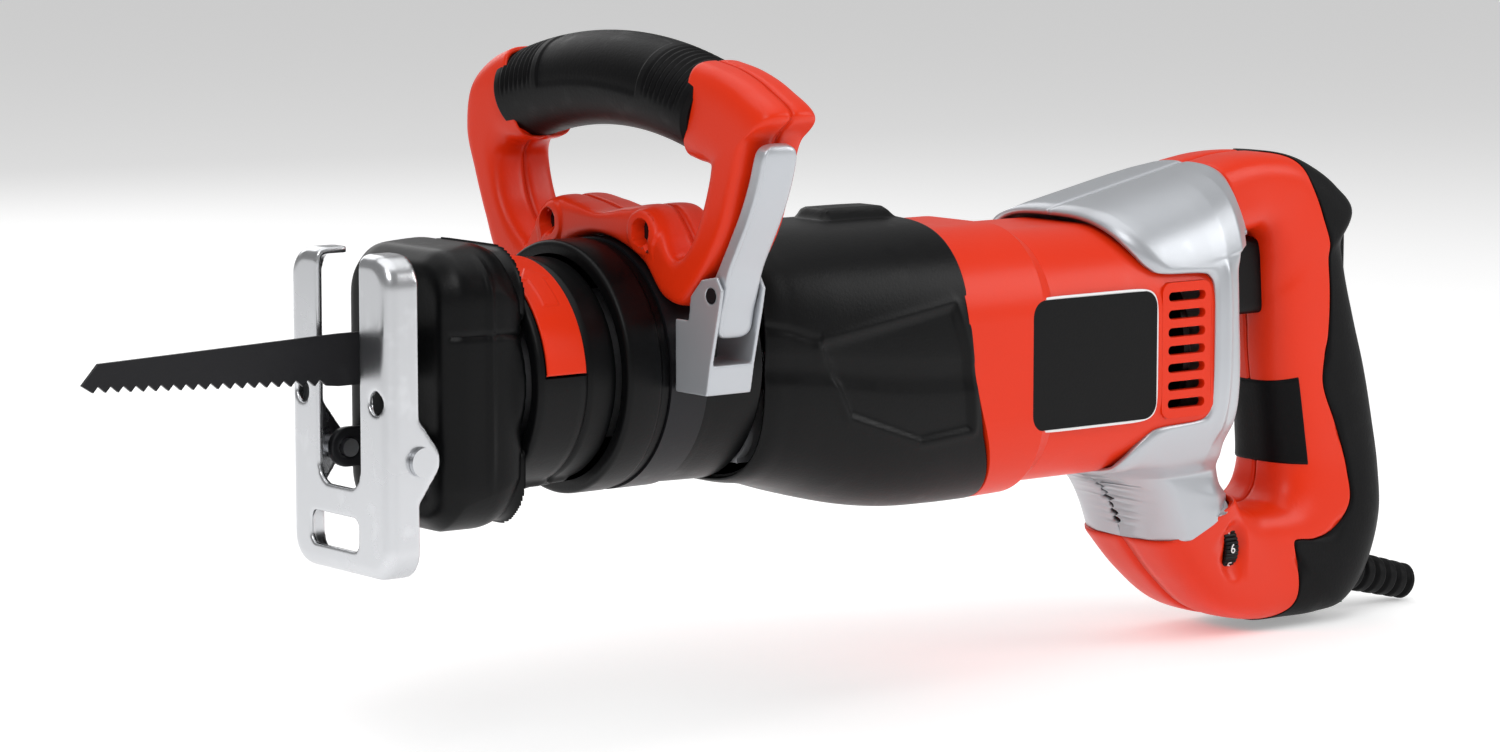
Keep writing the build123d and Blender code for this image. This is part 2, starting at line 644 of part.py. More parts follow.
with BuildPart() as grip_sleeve:
    add(grip_bar(GRIP_RADIUS))
    add(grip_bar(CORE_RADIUS + FIT), mode=Mode.SUBTRACT)
grip_sleeve.part.label = "grip_sleeve"
pieces.append(grip_sleeve)

HOOP_SCREW_RADIUS = 2.5
HOOP_HEAD_RADIUS = HOOP_SCREW_RADIUS + 2
HOOP_HEAD_DEPTH = 7
HOOP_HOLES = [(HOOP_SCREW_Y, HOOP_SCREW_Z), (-HOOP_SCREW_Y, HOOP_SCREW_Z)]


def hoop_screw_sketch(x, radius):
    """The two screws that draw the hoop's shells together."""
    with BuildSketch(Plane.YZ.offset(x)) as made:
        with Locations(*HOOP_HOLES):
            Circle(radius)
    return made.sketch


def hoop_shell(front, back):
    """The stretch of the hoop between two places in X, with its screw holes."""
    with BuildPart() as made:
        add(hoop)
        with BuildSketch(Plane.YZ.offset(back)):
            with Locations((0, 60)):
                Rectangle(220, 160)
        extrude(amount=front - back, mode=Mode.INTERSECT)
        shank_hole = hoop_screw_sketch(HOOP_BACK - 1, HOOP_SCREW_RADIUS + FIT)
        extrude(shank_hole, amount=HOOP_DEPTH - 5, mode=Mode.SUBTRACT)
        head_hole = hoop_screw_sketch(HOOP_FRONT - HOOP_HEAD_DEPTH, HOOP_HEAD_RADIUS + 2 * SEAM)
        extrude(head_hole, amount=HOOP_HEAD_DEPTH + 1, mode=Mode.SUBTRACT)
    return made.part


with BuildPart() as hoop_front_shell:
    add(hoop_shell(HOOP_FRONT, HOOP_MIDDLE))
hoop_front_shell.part.label = "hoop_front_shell"
pieces.append(hoop_front_shell)

with BuildPart() as hoop_rear_shell:
    add(hoop_shell(HOOP_MIDDLE, HOOP_BACK))
hoop_rear_shell.part.label = "hoop_rear_shell"
pieces.append(hoop_rear_shell)

with BuildPart() as hoop_screws:
    extrude(hoop_screw_sketch(HOOP_FRONT - HOOP_HEAD_DEPTH, HOOP_HEAD_RADIUS), amount=3)
    extrude(hoop_screw_sketch(HOOP_BACK + 3, HOOP_SCREW_RADIUS), amount=HOOP_DEPTH - 10)
hoop_screws.part.label = "hoop_screws"
pieces.append(hoop_screws)

with BuildPart() as clamp_strap:
    strap_inner = GROOVE_RADIUS + GAP
    rings([(STRAP_X, STRAP_X - STRAP_WIDTH, strap_inner + STRAP_THICKNESS, strap_inner)], z=BARREL_Z)
clamp_strap.part.label = "clamp_strap"
pieces.append(clamp_strap)

CHEEK = 1.4
LEVER_FRONT = STRAP_X - CHEEK - GAP
LEVER_THICKNESS = 6
LEVER_LINE = [(62.5, 3), (64.5, 22), (70.5, 33), (78, 45), (83.5, 58), (87.3, 70)]
BRACKET = [
    (44, -14),
    (61, -14),
    (63, -4),
    (67.5, 14),
    (69, 21),
    (66, 25.5),
    (58, 24),
    (52, 18),
    (51, 10),
    (44, 10),
]

with BuildPart() as lever_bracket:
    with BuildSketch(Plane.YZ.offset(LEVER_FRONT - LEVER_WIDTH - GAP - CHEEK)):
        with BuildLine():
            Polyline(*BRACKET, close=True)
        make_face()
    extrude(amount=LEVER_WIDTH + 2 * (GAP + CHEEK))
    with BuildSketch(Plane.YZ.offset(LEVER_FRONT - LEVER_WIDTH - GAP)):
        with Locations((62, 11.5)):
            Rectangle(40, 31)
    extrude(amount=LEVER_WIDTH + 2 * GAP, mode=Mode.SUBTRACT)
    with BuildSketch(Plane.YZ.offset(LEVER_FRONT - LEVER_WIDTH - 5)):
        with Locations((LEVER_PIN_Y, LEVER_PIN_Z)):
            Circle(LEVER_PIN_RADIUS)
        with Locations((0, BARREL_Z)):
            Circle(BARREL_RADIUS + GAP)
    extrude(amount=LEVER_WIDTH + 10, mode=Mode.SUBTRACT)
lever_bracket.part.label = "lever_bracket"
pieces.append(lever_bracket)

with BuildPart() as lever_pin:
    pin_front = LEVER_FRONT + GAP + CHEEK
    pin_back = LEVER_FRONT - LEVER_WIDTH - GAP - CHEEK
    rings([(pin_front, pin_back, LEVER_PIN_RADIUS, 0)], LEVER_PIN_Y, LEVER_PIN_Z)
lever_pin.part.label = "lever_pin"
pieces.append(lever_pin)

with BuildPart() as clamp_lever:
    with BuildSketch(Plane.YZ.offset(LEVER_FRONT - LEVER_WIDTH)):
        with BuildLine():
            Spline(*LEVER_LINE)
        trace(line_width=LEVER_THICKNESS)
        with Locations((LEVER_PIN_Y, LEVER_PIN_Z)):
            Circle(5)
            Circle(LEVER_PIN_RADIUS + FIT, mode=Mode.SUBTRACT)
    extrude(amount=LEVER_WIDTH)
clamp_lever.part.label = "clamp_lever"
pieces.append(clamp_lever)

# ---------------------------------------------------------------- gearcase cover and motor housing
GEARCASE_SIZES = [
    (BARREL_BACK - 0.7, 33, -50, 44, 30),
    (-163, 34, -53, 46, 31),
    (-190, 34, -62, 46.5, 32),
    (-212, 34, -66, 47, 32),
    (-256, 34, -68, 47, 32),
]
HOUSING_SIZES = [
    (-224, 30, -67, 46.5, 31),
    (-262, 30, -66, 46, 31),
    (-268, MOTOR_TOP, MOTOR_BOTTOM, MOTOR_HALF_WIDTH, 30),
    (MOTOR_BACK, MOTOR_TOP, MOTOR_BOTTOM, MOTOR_HALF_WIDTH, 30),
]
JOINT_TOP = (-228, 45)
JOINT_MIDDLE = (-230, MOTOR_Z)
JOINT_BOTTOM = (-253, -75)


def joint_region(shift):
    """Everything in front of the curved joint of gearcase and motor housing."""
    with BuildPart() as made:
        with BuildSketch(Plane.XZ):
            with BuildLine():
                points = [(x + shift, z) for x, z in (JOINT_TOP, JOINT_MIDDLE, JOINT_BOTTOM)]
                ThreePointArc(*points)
                Polyline(points[2], (-100, -75), (-100, 45), points[0])
            make_face()
        extrude(amount=60, both=True)
    return made.part


with BuildPart() as gearcase_cover:
    loft(stations(GEARCASE_SIZES), ruled=True)
    with BuildSketch(Plane.XZ):
        with BuildLine():
            Polyline((-192, 30), (-197, 37.5), (-215, 38), (-226, 34), (-226, 30), close=True)
        make_face()
    extrude(amount=7, both=True)
    loft(stations(GEARCASE_SIZES, COVER_WALL), ruled=True, mode=Mode.SUBTRACT)
    add(joint_region(0), mode=Mode.INTERSECT)
gearcase_cover.part.label = "gearcase_cover"
pieces.append(gearcase_cover)

# The motor housing ends at the side in a tongue that holds the air grilles.
TONGUE_BACK = -349
TONGUE_TOP = 12
TONGUE_BOTTOM = -55
TONGUE = [
    (-200, 60),
    (-304, 60),
    (-309, 22),
    (-318, TONGUE_TOP),
    (TONGUE_BACK + 4, TONGUE_TOP),
    (TONGUE_BACK, TONGUE_TOP - 4),
    (TONGUE_BACK, TONGUE_BOTTOM + 4),
    (TONGUE_BACK + 4, TONGUE_BOTTOM),
    (-330, TONGUE_BOTTOM - 2),
    (-322, -90),
    (-200, -90),
]
GRILLE_FRONT = -320
GRILLE_BACK = -344
GRILLE_TOP = 7
GRILLE_BOTTOM = -42
GRILLE_SLOTS = 7
PLATE_FRONT = -257
PLATE_BACK = -317
PLATE_TOP = 5
PLATE_BOTTOM = -41
PLATE_CORNER = 6
PLATE_INSET = 1.6
GRILLE_CORNER = 4


def side_window(front, back, top, bottom, corner):
    """Sketch of a rounded window in the side of the motor housing."""
    with BuildSketch(Plane.XZ) as made:
        with Locations(((front + back) / 2, (top + bottom) / 2)):
            RectangleRounded(front - back, top - bottom, corner)
    return made.sketch


with BuildPart() as motor_housing:
    loft(stations(HOUSING_SIZES), ruled=True)
    bore_ends = (HOUSING_SIZES[0][0] + 1, MOTOR_BACK)
    bore = [(x, MOTOR_TOP, MOTOR_BOTTOM, MOTOR_HALF_WIDTH, 30) for x in bore_ends]
    loft(stations(bore, COVER_WALL), mode=Mode.SUBTRACT)
    add(joint_region(-SEAM), mode=Mode.SUBTRACT)
    add(side_plate(TONGUE, -60, 60), mode=Mode.INTERSECT)
    window = side_window(GRILLE_FRONT, GRILLE_BACK, GRILLE_TOP, GRILLE_BOTTOM, GRILLE_CORNER)
    extrude(window, amount=60, both=True, mode=Mode.SUBTRACT)
    recess = side_window(PLATE_FRONT, PLATE_BACK, PLATE_TOP, PLATE_BOTTOM, PLATE_CORNER)
    for side in (-1, 1):
        outside = recess.moved(Location((0, side * (MOTOR_HALF_WIDTH + 10), 0)))
        extrude(outside, amount=10 + PLATE_INSET, dir=(0, -side, 0), mode=Mode.SUBTRACT)
motor_housing.part.label = "motor_housing"
pieces.append(motor_housing)

with BuildPart() as side_plates:
    for side in (-1, 1):
        edges = (PLATE_FRONT - SEAM, PLATE_BACK + SEAM, PLATE_TOP - SEAM, PLATE_BOTTOM + SEAM)
        floor = Location((0, side * (MOTOR_HALF_WIDTH - PLATE_INSET + SEAM), 0))
        face = side_window(*edges, PLATE_CORNER - SEAM).moved(floor)
        extrude(face, amount=PLATE_INSET + 0.5, dir=(0, side, 0))
side_plates.part.label = "side_plates"
pieces.append(side_plates)

with BuildPart() as air_grilles:
    for side in (-1, 1):
        edges = (GRILLE_FRONT - SEAM, GRILLE_BACK + SEAM, GRILLE_TOP - SEAM, GRILLE_BOTTOM + SEAM)
        floor = Location((0, side * (MOTOR_HALF_WIDTH - COVER_WALL), 0))
        face = side_window(*edges, GRILLE_CORNER - SEAM).moved(floor)
        extrude(face, amount=COVER_WALL, dir=(0, side, 0))
    with BuildSketch(Plane.XZ):
        with Locations(((GRILLE_FRONT + GRILLE_BACK) / 2, (GRILLE_TOP + GRILLE_BOTTOM) / 2)):
            with GridLocations(1, (GRILLE_TOP - GRILLE_BOTTOM - 4) / GRILLE_SLOTS, 1, GRILLE_SLOTS):
                SlotOverall(GRILLE_FRONT - GRILLE_BACK - 6, 3.4)
    extrude(amount=60, both=True, mode=Mode.SUBTRACT)
air_grilles.part.label = "air_grilles"
pieces.append(air_grilles)

# ---------------------------------------------------------------- motor
PINION_FRONT = GEAR_X - TOOTH_PITCH_RADIUS + TOOTH_FACE / 2
PINION_BORE = 2.8
STATOR_BACK = STATOR_FRONT - STATOR_LENGTH
FAN_FRONT = FRAME_BACK - 3
FAN_DEPTH = 9
FAN_BLADES = 12
COMMUTATOR_BACK = COMMUTATOR_FRONT - COMMUTATOR_LENGTH
REAR_BEARING_FRONT = -339
REAR_BEARING_WIDTH = 7
REAR_JOURNAL = 3.5

with BuildPart() as armature_shaft:
    rings([(PINION_FRONT, PINION_FRONT - TOOTH_FACE - SEAM, PINION_BORE, 0)], z=MOTOR_Z)
    rings([(PINION_FRONT - TOOTH_FACE - SEAM, REAR_BEARING_FRONT + 1, SHAFT_RADIUS, 0)], z=MOTOR_Z)
    journal_back = REAR_BEARING_FRONT - REAR_BEARING_WIDTH - 1
    rings([(REAR_BEARING_FRONT + 1, journal_back, REAR_JOURNAL, 0)], z=MOTOR_Z)
armature_shaft.part.label = "armature_shaft"
pieces.append(armature_shaft)

with BuildPart() as pinion:
    with BuildSketch(Plane.YZ.offset(PINION_FRONT - TOOTH_FACE)):
        with Locations((0, MOTOR_Z)):
            Circle(PINION_ROOT)
            with PolarLocations((PINION_TIP + PINION_ROOT) / 2 - 0.5, PINION_TEETH, start_angle=90):
                Rectangle(PINION_TIP - PINION_ROOT + 1, TOOTH_THICKNESS)
            Circle(PINION_BORE, mode=Mode.SUBTRACT)
    extrude(amount=TOOTH_FACE)
pinion.part.label = "pinion"
pieces.append(pinion)

with BuildPart() as fan:
    rings([(FAN_FRONT, FAN_FRONT - FAN_DEPTH, SHAFT_RADIUS + 4, SHAFT_RADIUS)], z=MOTOR_Z)
    rings([(FAN_FRONT - FAN_DEPTH + 1.5, FAN_FRONT - FAN_DEPTH, FAN_RADIUS, SHAFT_RADIUS)], z=MOTOR_Z)
    with BuildSketch(Plane.YZ.offset(FAN_FRONT - FAN_DEPTH)):
        with Locations((0, MOTOR_Z)):
            with PolarLocations(FAN_RADIUS - 11, FAN_BLADES):
                Rectangle(20, 1.6, rotation=20)
    extrude(amount=FAN_DEPTH)
fan.part.label = "fan"
pieces.append(fan)

LAMINATION_SLOTS = 12

with BuildPart() as laminations:
    with BuildSketch(Plane.YZ.offset(STATOR_BACK)):
        with Locations((0, MOTOR_Z)):
            Circle(ARMATURE_RADIUS)
            with PolarLocations(ARMATURE_RADIUS - 0.5, LAMINATION_SLOTS):
                Rectangle(5, 2, mode=Mode.SUBTRACT)
            Circle(SHAFT_RADIUS, mode=Mode.SUBTRACT)
    extrude(amount=STATOR_LENGTH)
laminations.part.label = "laminations"
pieces.append(laminations)

WINDING_LENGTH = 10

with BuildPart() as armature_windings:
    for front in (STATOR_FRONT + WINDING_LENGTH, STATOR_BACK - SEAM):
        rings([(front, front - WINDING_LENGTH + SEAM, ARMATURE_RADIUS - 2.5, SHAFT_RADIUS)], z=MOTOR_Z)
    chamfer(armature_windings.edges().filter_by(GeomType.CIRCLE).group_by(SortBy.RADIUS)[-1], 2.5)
armature_windings.part.label = "armature_windings"
pieces.append(armature_windings)

with BuildPart() as commutator:
    with BuildSketch(Plane.YZ.offset(COMMUTATOR_BACK)):
        with Locations((0, MOTOR_Z)):
            Circle(COMMUTATOR_RADIUS)
            with PolarLocations(COMMUTATOR_RADIUS, 2 * LAMINATION_SLOTS):
                Rectangle(2, 0.6, mode=Mode.SUBTRACT)
            Circle(SHAFT_RADIUS, mode=Mode.SUBTRACT)
    extrude(amount=COMMUTATOR_LENGTH)
commutator.part.label = "commutator"
pieces.append(commutator)

with BuildPart() as armature_bearings:
    front_end = FRONT_BEARING_FRONT - FRONT_BEARING_WIDTH
    rear_end = REAR_BEARING_FRONT - REAR_BEARING_WIDTH
    rings([(FRONT_BEARING_FRONT, front_end, FRONT_BEARING_RADIUS, SHAFT_RADIUS + FIT)], z=MOTOR_Z)
    rings([(REAR_BEARING_FRONT, rear_end, REAR_BEARING_RADIUS, REAR_JOURNAL + FIT)], z=MOTOR_Z)
armature_bearings.part.label = "armature_bearings"
pieces.append(armature_bearings)

POLE_START = 60
POLE_END = 120
COIL_START = 38
COIL_END = 142
CORE_INNER = 33.5
POLE_INNER = ARMATURE_RADIUS + 1
COIL_OVERHANG = 8

with BuildPart() as stator_core:
    rings([(STATOR_FRONT, STATOR_BACK, STATOR_RADIUS, CORE_INNER)], z=MOTOR_Z)
    for turn in (0, 180):
        pole = sector(STATOR_BACK, POLE_INNER, CORE_INNER + 1, POLE_START + turn, POLE_END + turn, MOTOR_Z)
        extrude(pole, amount=STATOR_LENGTH)
stator_core.part.label = "stator_core"
pieces.append(stator_core)

with BuildPart() as field_coils:
    for turn in (0, 180):
        coil_back = STATOR_BACK - COIL_OVERHANG
        coil_ends = (COIL_START + turn, COIL_END + turn)
        coil = sector(coil_back, POLE_INNER + 1, CORE_INNER - 0.5, *coil_ends, MOTOR_Z)
        extrude(coil, amount=STATOR_LENGTH + 2 * COIL_OVERHANG)
        window_ends = (POLE_START + turn - 1, POLE_END + turn + 1)
        window = sector(STATOR_BACK - SEAM, POLE_INNER - 1, CORE_INNER + 1, *window_ends, MOTOR_Z)
        extrude(window, amount=STATOR_LENGTH + 2 * SEAM, mode=Mode.SUBTRACT)
field_coils.part.label = "field_coils"
pieces.append(field_coils)

BRUSH_X = (COMMUTATOR_FRONT + COMMUTATOR_BACK) / 2
BRUSH_WIDTH = 7
BRUSH_HEIGHT = 6
BRUSH_TIP = COMMUTATOR_RADIUS + GAP
BRUSH_TAIL = BRUSH_TIP + 13
HOLDER_WALL = 0.8
HOLDER_FRONT = COMMUTATOR_RADIUS + 2.5
HOLDER_BACK = BRUSH_TAIL + 8
SPRING_WIRE = 0.5
PLATE_X = COMMUTATOR_BACK - 2
PLATE_THICKNESS = 3

with BuildPart() as brushes:
    brush_middle = (BRUSH_TIP + BRUSH_TAIL) / 2
    with Locations((BRUSH_X, brush_middle, MOTOR_Z), (BRUSH_X, -brush_middle, MOTOR_Z)):
        Box(BRUSH_WIDTH, BRUSH_TAIL - BRUSH_TIP, BRUSH_HEIGHT)
brushes.part.label = "brushes"
pieces.append(brushes)

holder_middle = (HOLDER_FRONT + HOLDER_BACK) / 2
with BuildPart() as brush_holders:
    for side in (-1, 1):
        with Locations((BRUSH_X, side * holder_middle, MOTOR_Z)):
            Box(BRUSH_WIDTH + 2 * SEAM + 2 * HOLDER_WALL, HOLDER_BACK - HOLDER_FRONT, BRUSH_HEIGHT + 2 * SEAM + 2 * HOLDER_WALL)
        with Locations((BRUSH_X, side * (holder_middle - HOLDER_WALL), MOTOR_Z)):
            Box(BRUSH_WIDTH + 2 * SEAM, HOLDER_BACK - HOLDER_FRONT, BRUSH_HEIGHT + 2 * SEAM, mode=Mode.SUBTRACT)
brush_holders.part.label = "brush_holders"
pieces.append(brush_holders)

SPRING_FRONT = BRUSH_TAIL + SEAM
SPRING_LENGTH = HOLDER_BACK - HOLDER_WALL - SEAM - SPRING_FRONT
SPRING_RADIUS = 2.4
SPRING_TURNS = 6

with BuildPart() as brush_springs:
    for side in (-1, 1):
        tail = Plane(origin=(BRUSH_X, side * SPRING_FRONT, MOTOR_Z), z_dir=(0, side, 0))
        with BuildSketch(tail):
            Circle(SPRING_RADIUS)
        extrude(amount=SPRING_LENGTH)
        for turn in range(SPRING_TURNS):
            with BuildSketch(tail.offset((turn + 0.35) * SPRING_LENGTH / SPRING_TURNS)):
                Circle(SPRING_RADIUS + 1)
                Circle(SPRING_RADIUS - 2 * SPRING_WIRE, mode=Mode.SUBTRACT)
            extrude(amount=0.3 * SPRING_LENGTH / SPRING_TURNS, mode=Mode.SUBTRACT)
        with BuildSketch(tail):
            Circle(SPRING_RADIUS - 3 * SPRING_WIRE)
        extrude(amount=SPRING_LENGTH, mode=Mode.SUBTRACT)
brush_springs.part.label = "brush_springs"
pieces.append(brush_springs)

ARM_TOP = MOTOR_Z - BRUSH_HEIGHT / 2 - 2 * SEAM - HOLDER_WALL

with BuildPart() as brush_plate:
    rings([(PLATE_X, PLATE_X - PLATE_THICKNESS, STATOR_RADIUS, REAR_JOURNAL + 2)], z=MOTOR_Z)
    cup_back = REAR_BEARING_FRONT - REAR_BEARING_WIDTH
    rings([(PLATE_X - 1, cup_back, REAR_BEARING_RADIUS + 3, REAR_BEARING_RADIUS + FIT)], z=MOTOR_Z)
    with BuildSketch(Plane.YZ.offset(PLATE_X - PLATE_THICKNESS)):
        with Locations((0, MOTOR_Z)):
            with PolarLocations(26, 4, start_angle=45):
                Circle(8)
    extrude(amount=PLATE_THICKNESS, mode=Mode.SUBTRACT)
    arm_middle = (PLATE_X + 7, holder_middle, ARM_TOP - 1.5)
    with Locations(arm_middle, (arm_middle[0], -holder_middle, arm_middle[2])):
        Box(14, HOLDER_BACK - HOLDER_FRONT, 3)
brush_plate.part.label = "brush_plate"
pieces.append(brush_plate)

# ---------------------------------------------------------------- rear handle
def prism(points, half_width, inset=0.0, side=0):
    """Solid of a side outline, on both sides or one; inset draws it in all round."""
    with BuildPart() as made:
        with BuildSketch(Plane.XZ):
            with BuildLine():
                Polyline(*points, close=True)
            make_face()
            if inset:
                offset(amount=-inset, kind=Kind.INTERSECTION)
        if side:
            extrude(amount=half_width - inset, dir=(0, side, 0))
        else:
            extrude(amount=half_width - inset, both=True)
    return made.part


HEAD_SIZES = [
    (-303, MOTOR_TOP + 1.4, MOTOR_BOTTOM - 1.4, 45.3, 31),
    (-342, 35, -68, 44, 30),
    (-368, 42.5, -76, 29, 20),
]
ARM = [
    (-328, -60),
    (-335, -76),
    (-341, -92),
    (-351, -91),
    (-380, -78),
    (-376, -60),
    (-360, -10),
    (-362, 18),
    (-384, 22),
    (-370, 45),
    (-355, 42),
    (-340, 30),
]
FINGER_GAP = [
    (-363, -8),
    (-366, -23),
    (-375, -60),
    (-378, -78),
    (-385, -84),
    (-405, -84),
    (-410, -76),
    (-407, -40),
    (-404, -18),
    (-402, 18),
    (-372, 18),
    (-363, 12),
]
HANDLE = [
    (-370, 45),
    (-384, 47.5),
    (-400, 48),
    (-431, 40),
    (-453, 26),
    (-449, 19),
    (-459, -13),
    (-468, -52),
    (-471.6, -84),
    (-469, -97),
    (-458, -122),
    (-448, BASE_Z),
    (-390, BASE_Z),
    (-369, -121),
    (-341, -92),
    (-351, -91),
    (-380, -78),
    (-392, -79),
    (-396, 22),
    (-384, 22),
]
BASE = [
    (-341, -92),
    (-351, -91),
    (-380, -78),
    (-385, -84),
    (-434, -88),
    (-448, BASE_Z),
    (-390, BASE_Z),
    (-369, -121),
]
BLACK = [
    (-430, 60),
    (-422, 27),
    (-422, -39),
    (-435, -70),
    (-437, -88),
    (-390, -103),
    (-379, -117),
    (-379, -140),
    (-520, -140),
    (-520, 60),
]
PAD = [(-380, -38), (-414, -38), (-416, -70), (-380, -70)]
YOKE_SCREWS = [(-356, 30), (-356, -24), (-358, -72)]
HANDLE_SCREWS = [(-414, 36), (-440, -40), (-455, -95), (-400, -96)]
BOSS_RADIUS = 4
SCREW_RADIUS = 1.5
SCREW_TIP = 7

HANDLE_SIDE = 60  # beyond every side of the handle

with BuildPart() as yoke_room:
    room_sizes = [*HEAD_SIZES[:2], (HEAD_SIZES[2][0] + COVER_WALL, *HEAD_SIZES[2][1:])]
    loft(stations(room_sizes, COVER_WALL), ruled=True)
    add(prism(ARM, YOKE_HALF_WIDTH, COVER_WALL))
    add(prism(FINGER_GAP, HANDLE_SIDE, -COVER_WALL), mode=Mode.SUBTRACT)
    add(pins(YOKE_SCREWS, BOSS_RADIUS, -HANDLE_SIDE, HANDLE_SIDE), mode=Mode.SUBTRACT)

with BuildPart() as yoke_shell:
    loft(stations(HEAD_SIZES), ruled=True)
    add(prism(ARM, YOKE_HALF_WIDTH))
    add(yoke_room, mode=Mode.SUBTRACT)
    add(prism(FINGER_GAP, HANDLE_SIDE), mode=Mode.SUBTRACT)
    add(prism(TONGUE, HANDLE_SIDE, -SEAM), mode=Mode.SUBTRACT)
    add(pins(YOKE_SCREWS, SCREW_RADIUS + FIT, -HANDLE_SIDE, SCREW_TIP + 1), mode=Mode.SUBTRACT)
    add(pins(YOKE_SCREWS, 3.2, -HANDLE_SIDE, 4 - YOKE_HALF_WIDTH), mode=Mode.SUBTRACT)

for side in ("left", "right"):
    with BuildPart() as yoke_half:
        add(half(yoke_shell.part, side))
    yoke_half.part.label = f"yoke_{side}"
    pieces.append(yoke_half)

SLEEVE_PITCH = math.radians(14)
SLEEVE_ROOT = (-450, 0, -114.5)
SLEEVE_RADIUS = 7.5
SLEEVE_WAY = (-math.cos(SLEEVE_PITCH), 0, -math.sin(SLEEVE_PITCH))
SLEEVE = Plane(origin=SLEEVE_ROOT, x_dir=(0, 1, 0), z_dir=SLEEVE_WAY)
TRIGGER_HALF = 8.5
TRIGGER_TOP = 16
TRIGGER_BOTTOM = -13
DIAL_Y = BASE_HALF_WIDTH + 1.8 - DIAL_RADIUS

with BuildPart() as handle_room:
    add(prism(HANDLE, GRIP_HALF_WIDTH, COVER_WALL))
    add(prism(BASE, BASE_HALF_WIDTH, COVER_WALL))
    add(prism(FINGER_GAP, HANDLE_SIDE, -COVER_WALL), mode=Mode.SUBTRACT)
    add(pins(HANDLE_SCREWS, BOSS_RADIUS, -HANDLE_SIDE, HANDLE_SIDE), mode=Mode.SUBTRACT)


def handle_half(side):
    """The handle's shell on one side of the middle plane."""
    with BuildPart() as made:
        add(prism(HANDLE, GRIP_HALF_WIDTH, side=side))
        add(prism(BASE, BASE_HALF_WIDTH, side=side))
        add(handle_room, mode=Mode.SUBTRACT)
        add(prism(FINGER_GAP, HANDLE_SIDE), mode=Mode.SUBTRACT)
        add(pins(HANDLE_SCREWS, SCREW_RADIUS + FIT, -HANDLE_SIDE, SCREW_TIP + 1), mode=Mode.SUBTRACT)
        add(pins(HANDLE_SCREWS, 3.2, -HANDLE_SIDE, 4 - GRIP_HALF_WIDTH), mode=Mode.SUBTRACT)
        with BuildSketch(Plane.XZ):
            with Locations((-405, (TRIGGER_TOP + TRIGGER_BOTTOM) / 2)):
                Rectangle(12, TRIGGER_TOP - TRIGGER_BOTTOM + 2 * GAP)
        extrude(amount=TRIGGER_HALF + GAP, both=True, mode=Mode.SUBTRACT)
        with BuildSketch(Plane.XZ):
            with Locations((DIAL_X, DIAL_Z)):
                RectangleRounded(DIAL_WIDTH + 1, 2 * DIAL_RADIUS - 1, 2)
        extrude(amount=HANDLE_SIDE, dir=(0, 1, 0), mode=Mode.SUBTRACT)
        with BuildSketch(SLEEVE.offset(-4)):
            Circle(SLEEVE_RADIUS + SEAM)
        extrude(amount=30, mode=Mode.SUBTRACT)
    return made.part


LEFT_HALF = handle_half(1)
RIGHT_HALF = handle_half(-1)

for name, shell in (("handle_left", LEFT_HALF), ("handle_right", RIGHT_HALF)):
    with BuildPart() as handle_side:
        add(shell)
        add(prism(BLACK, HANDLE_SIDE), mode=Mode.SUBTRACT)
        add(prism(PAD, HANDLE_SIDE), mode=Mode.SUBTRACT)
    handle_side.part.label = name
    pieces.append(handle_side)

for name, region in (("rear_overmould", BLACK), ("grip_pad", PAD)):
    with BuildPart() as overmould:
        add(LEFT_HALF)
        add(prism(region, HANDLE_SIDE), mode=Mode.INTERSECT)
    with BuildPart() as overmould_pair:
        add(overmould)
        add(RIGHT_HALF & prism(region, HANDLE_SIDE))
    overmould_pair.part.label = name
    pieces.append(overmould_pair)

with BuildPart() as handle_screws:
    for places, width in ((YOKE_SCREWS, YOKE_HALF_WIDTH), (HANDLE_SCREWS, GRIP_HALF_WIDTH)):
        add(pins(places, SCREW_RADIUS, 3 - width, SCREW_TIP))
        add(pins(places, 3, 1.5 - width, 4 - SEAM - width))
handle_screws.part.label = "handle_screws"
pieces.append(handle_screws)

STEM_RADIUS = 2.5
SWITCH_FRONT = -420
TRIGGER = [
    (-385, TRIGGER_TOP),
    (-381.5, 6),
    (-382, -6),
    (-388, TRIGGER_BOTTOM),
    (-411, TRIGGER_BOTTOM),
    (-411, TRIGGER_TOP),
]

with BuildPart() as trigger:
    add(prism(TRIGGER, TRIGGER_HALF))
    fillet(trigger.faces().filter_by(Axis.Y).edges().filter_by_position(Axis.X, -400, -380), 1.5)
    rings([(-410, SWITCH_FRONT - 6, STEM_RADIUS, 0)])
trigger.part.label = "trigger"
pieces.append(trigger)

with BuildPart() as switch:
    with Locations((SWITCH_FRONT - 12, 0, 0)):
        Box(24, 22, 30)
    with BuildSketch(Plane.YZ.offset(SWITCH_FRONT - 7 - TRIGGER_TRAVEL)):
        Circle(STEM_RADIUS + FIT)
    extrude(amount=8 + TRIGGER_TRAVEL, mode=Mode.SUBTRACT)
switch.part.label = "switch"
pieces.append(switch)

SPINDLE_RADIUS = 2

with BuildPart() as speed_dial:
    dial_front = DIAL_X + DIAL_WIDTH / 2
    rings([(dial_front, dial_front - DIAL_WIDTH, DIAL_RADIUS, SPINDLE_RADIUS + FIT)], DIAL_Y, DIAL_Z)
speed_dial.part.label = "speed_dial"
pieces.append(speed_dial)

with BuildPart() as dial_potentiometer:
    rings([(DIAL_X + DIAL_WIDTH / 2 - 0.5, DIAL_X - DIAL_WIDTH / 2 - 2, SPINDLE_RADIUS, 0)], DIAL_Y, DIAL_Z)
    with Locations((DIAL_X - DIAL_WIDTH / 2 - 5, DIAL_Y - 4, DIAL_Z)):
        Box(6, 16, 14)
dial_potentiometer.part.label = "dial_potentiometer"
pieces.append(dial_potentiometer)

with BuildPart() as control_board:
    with Locations((-418, 0, BASE_Z + COVER_WALL + 3)):
        Box(44, 34, 6)
control_board.part.label = "control_board"
pieces.append(control_board)

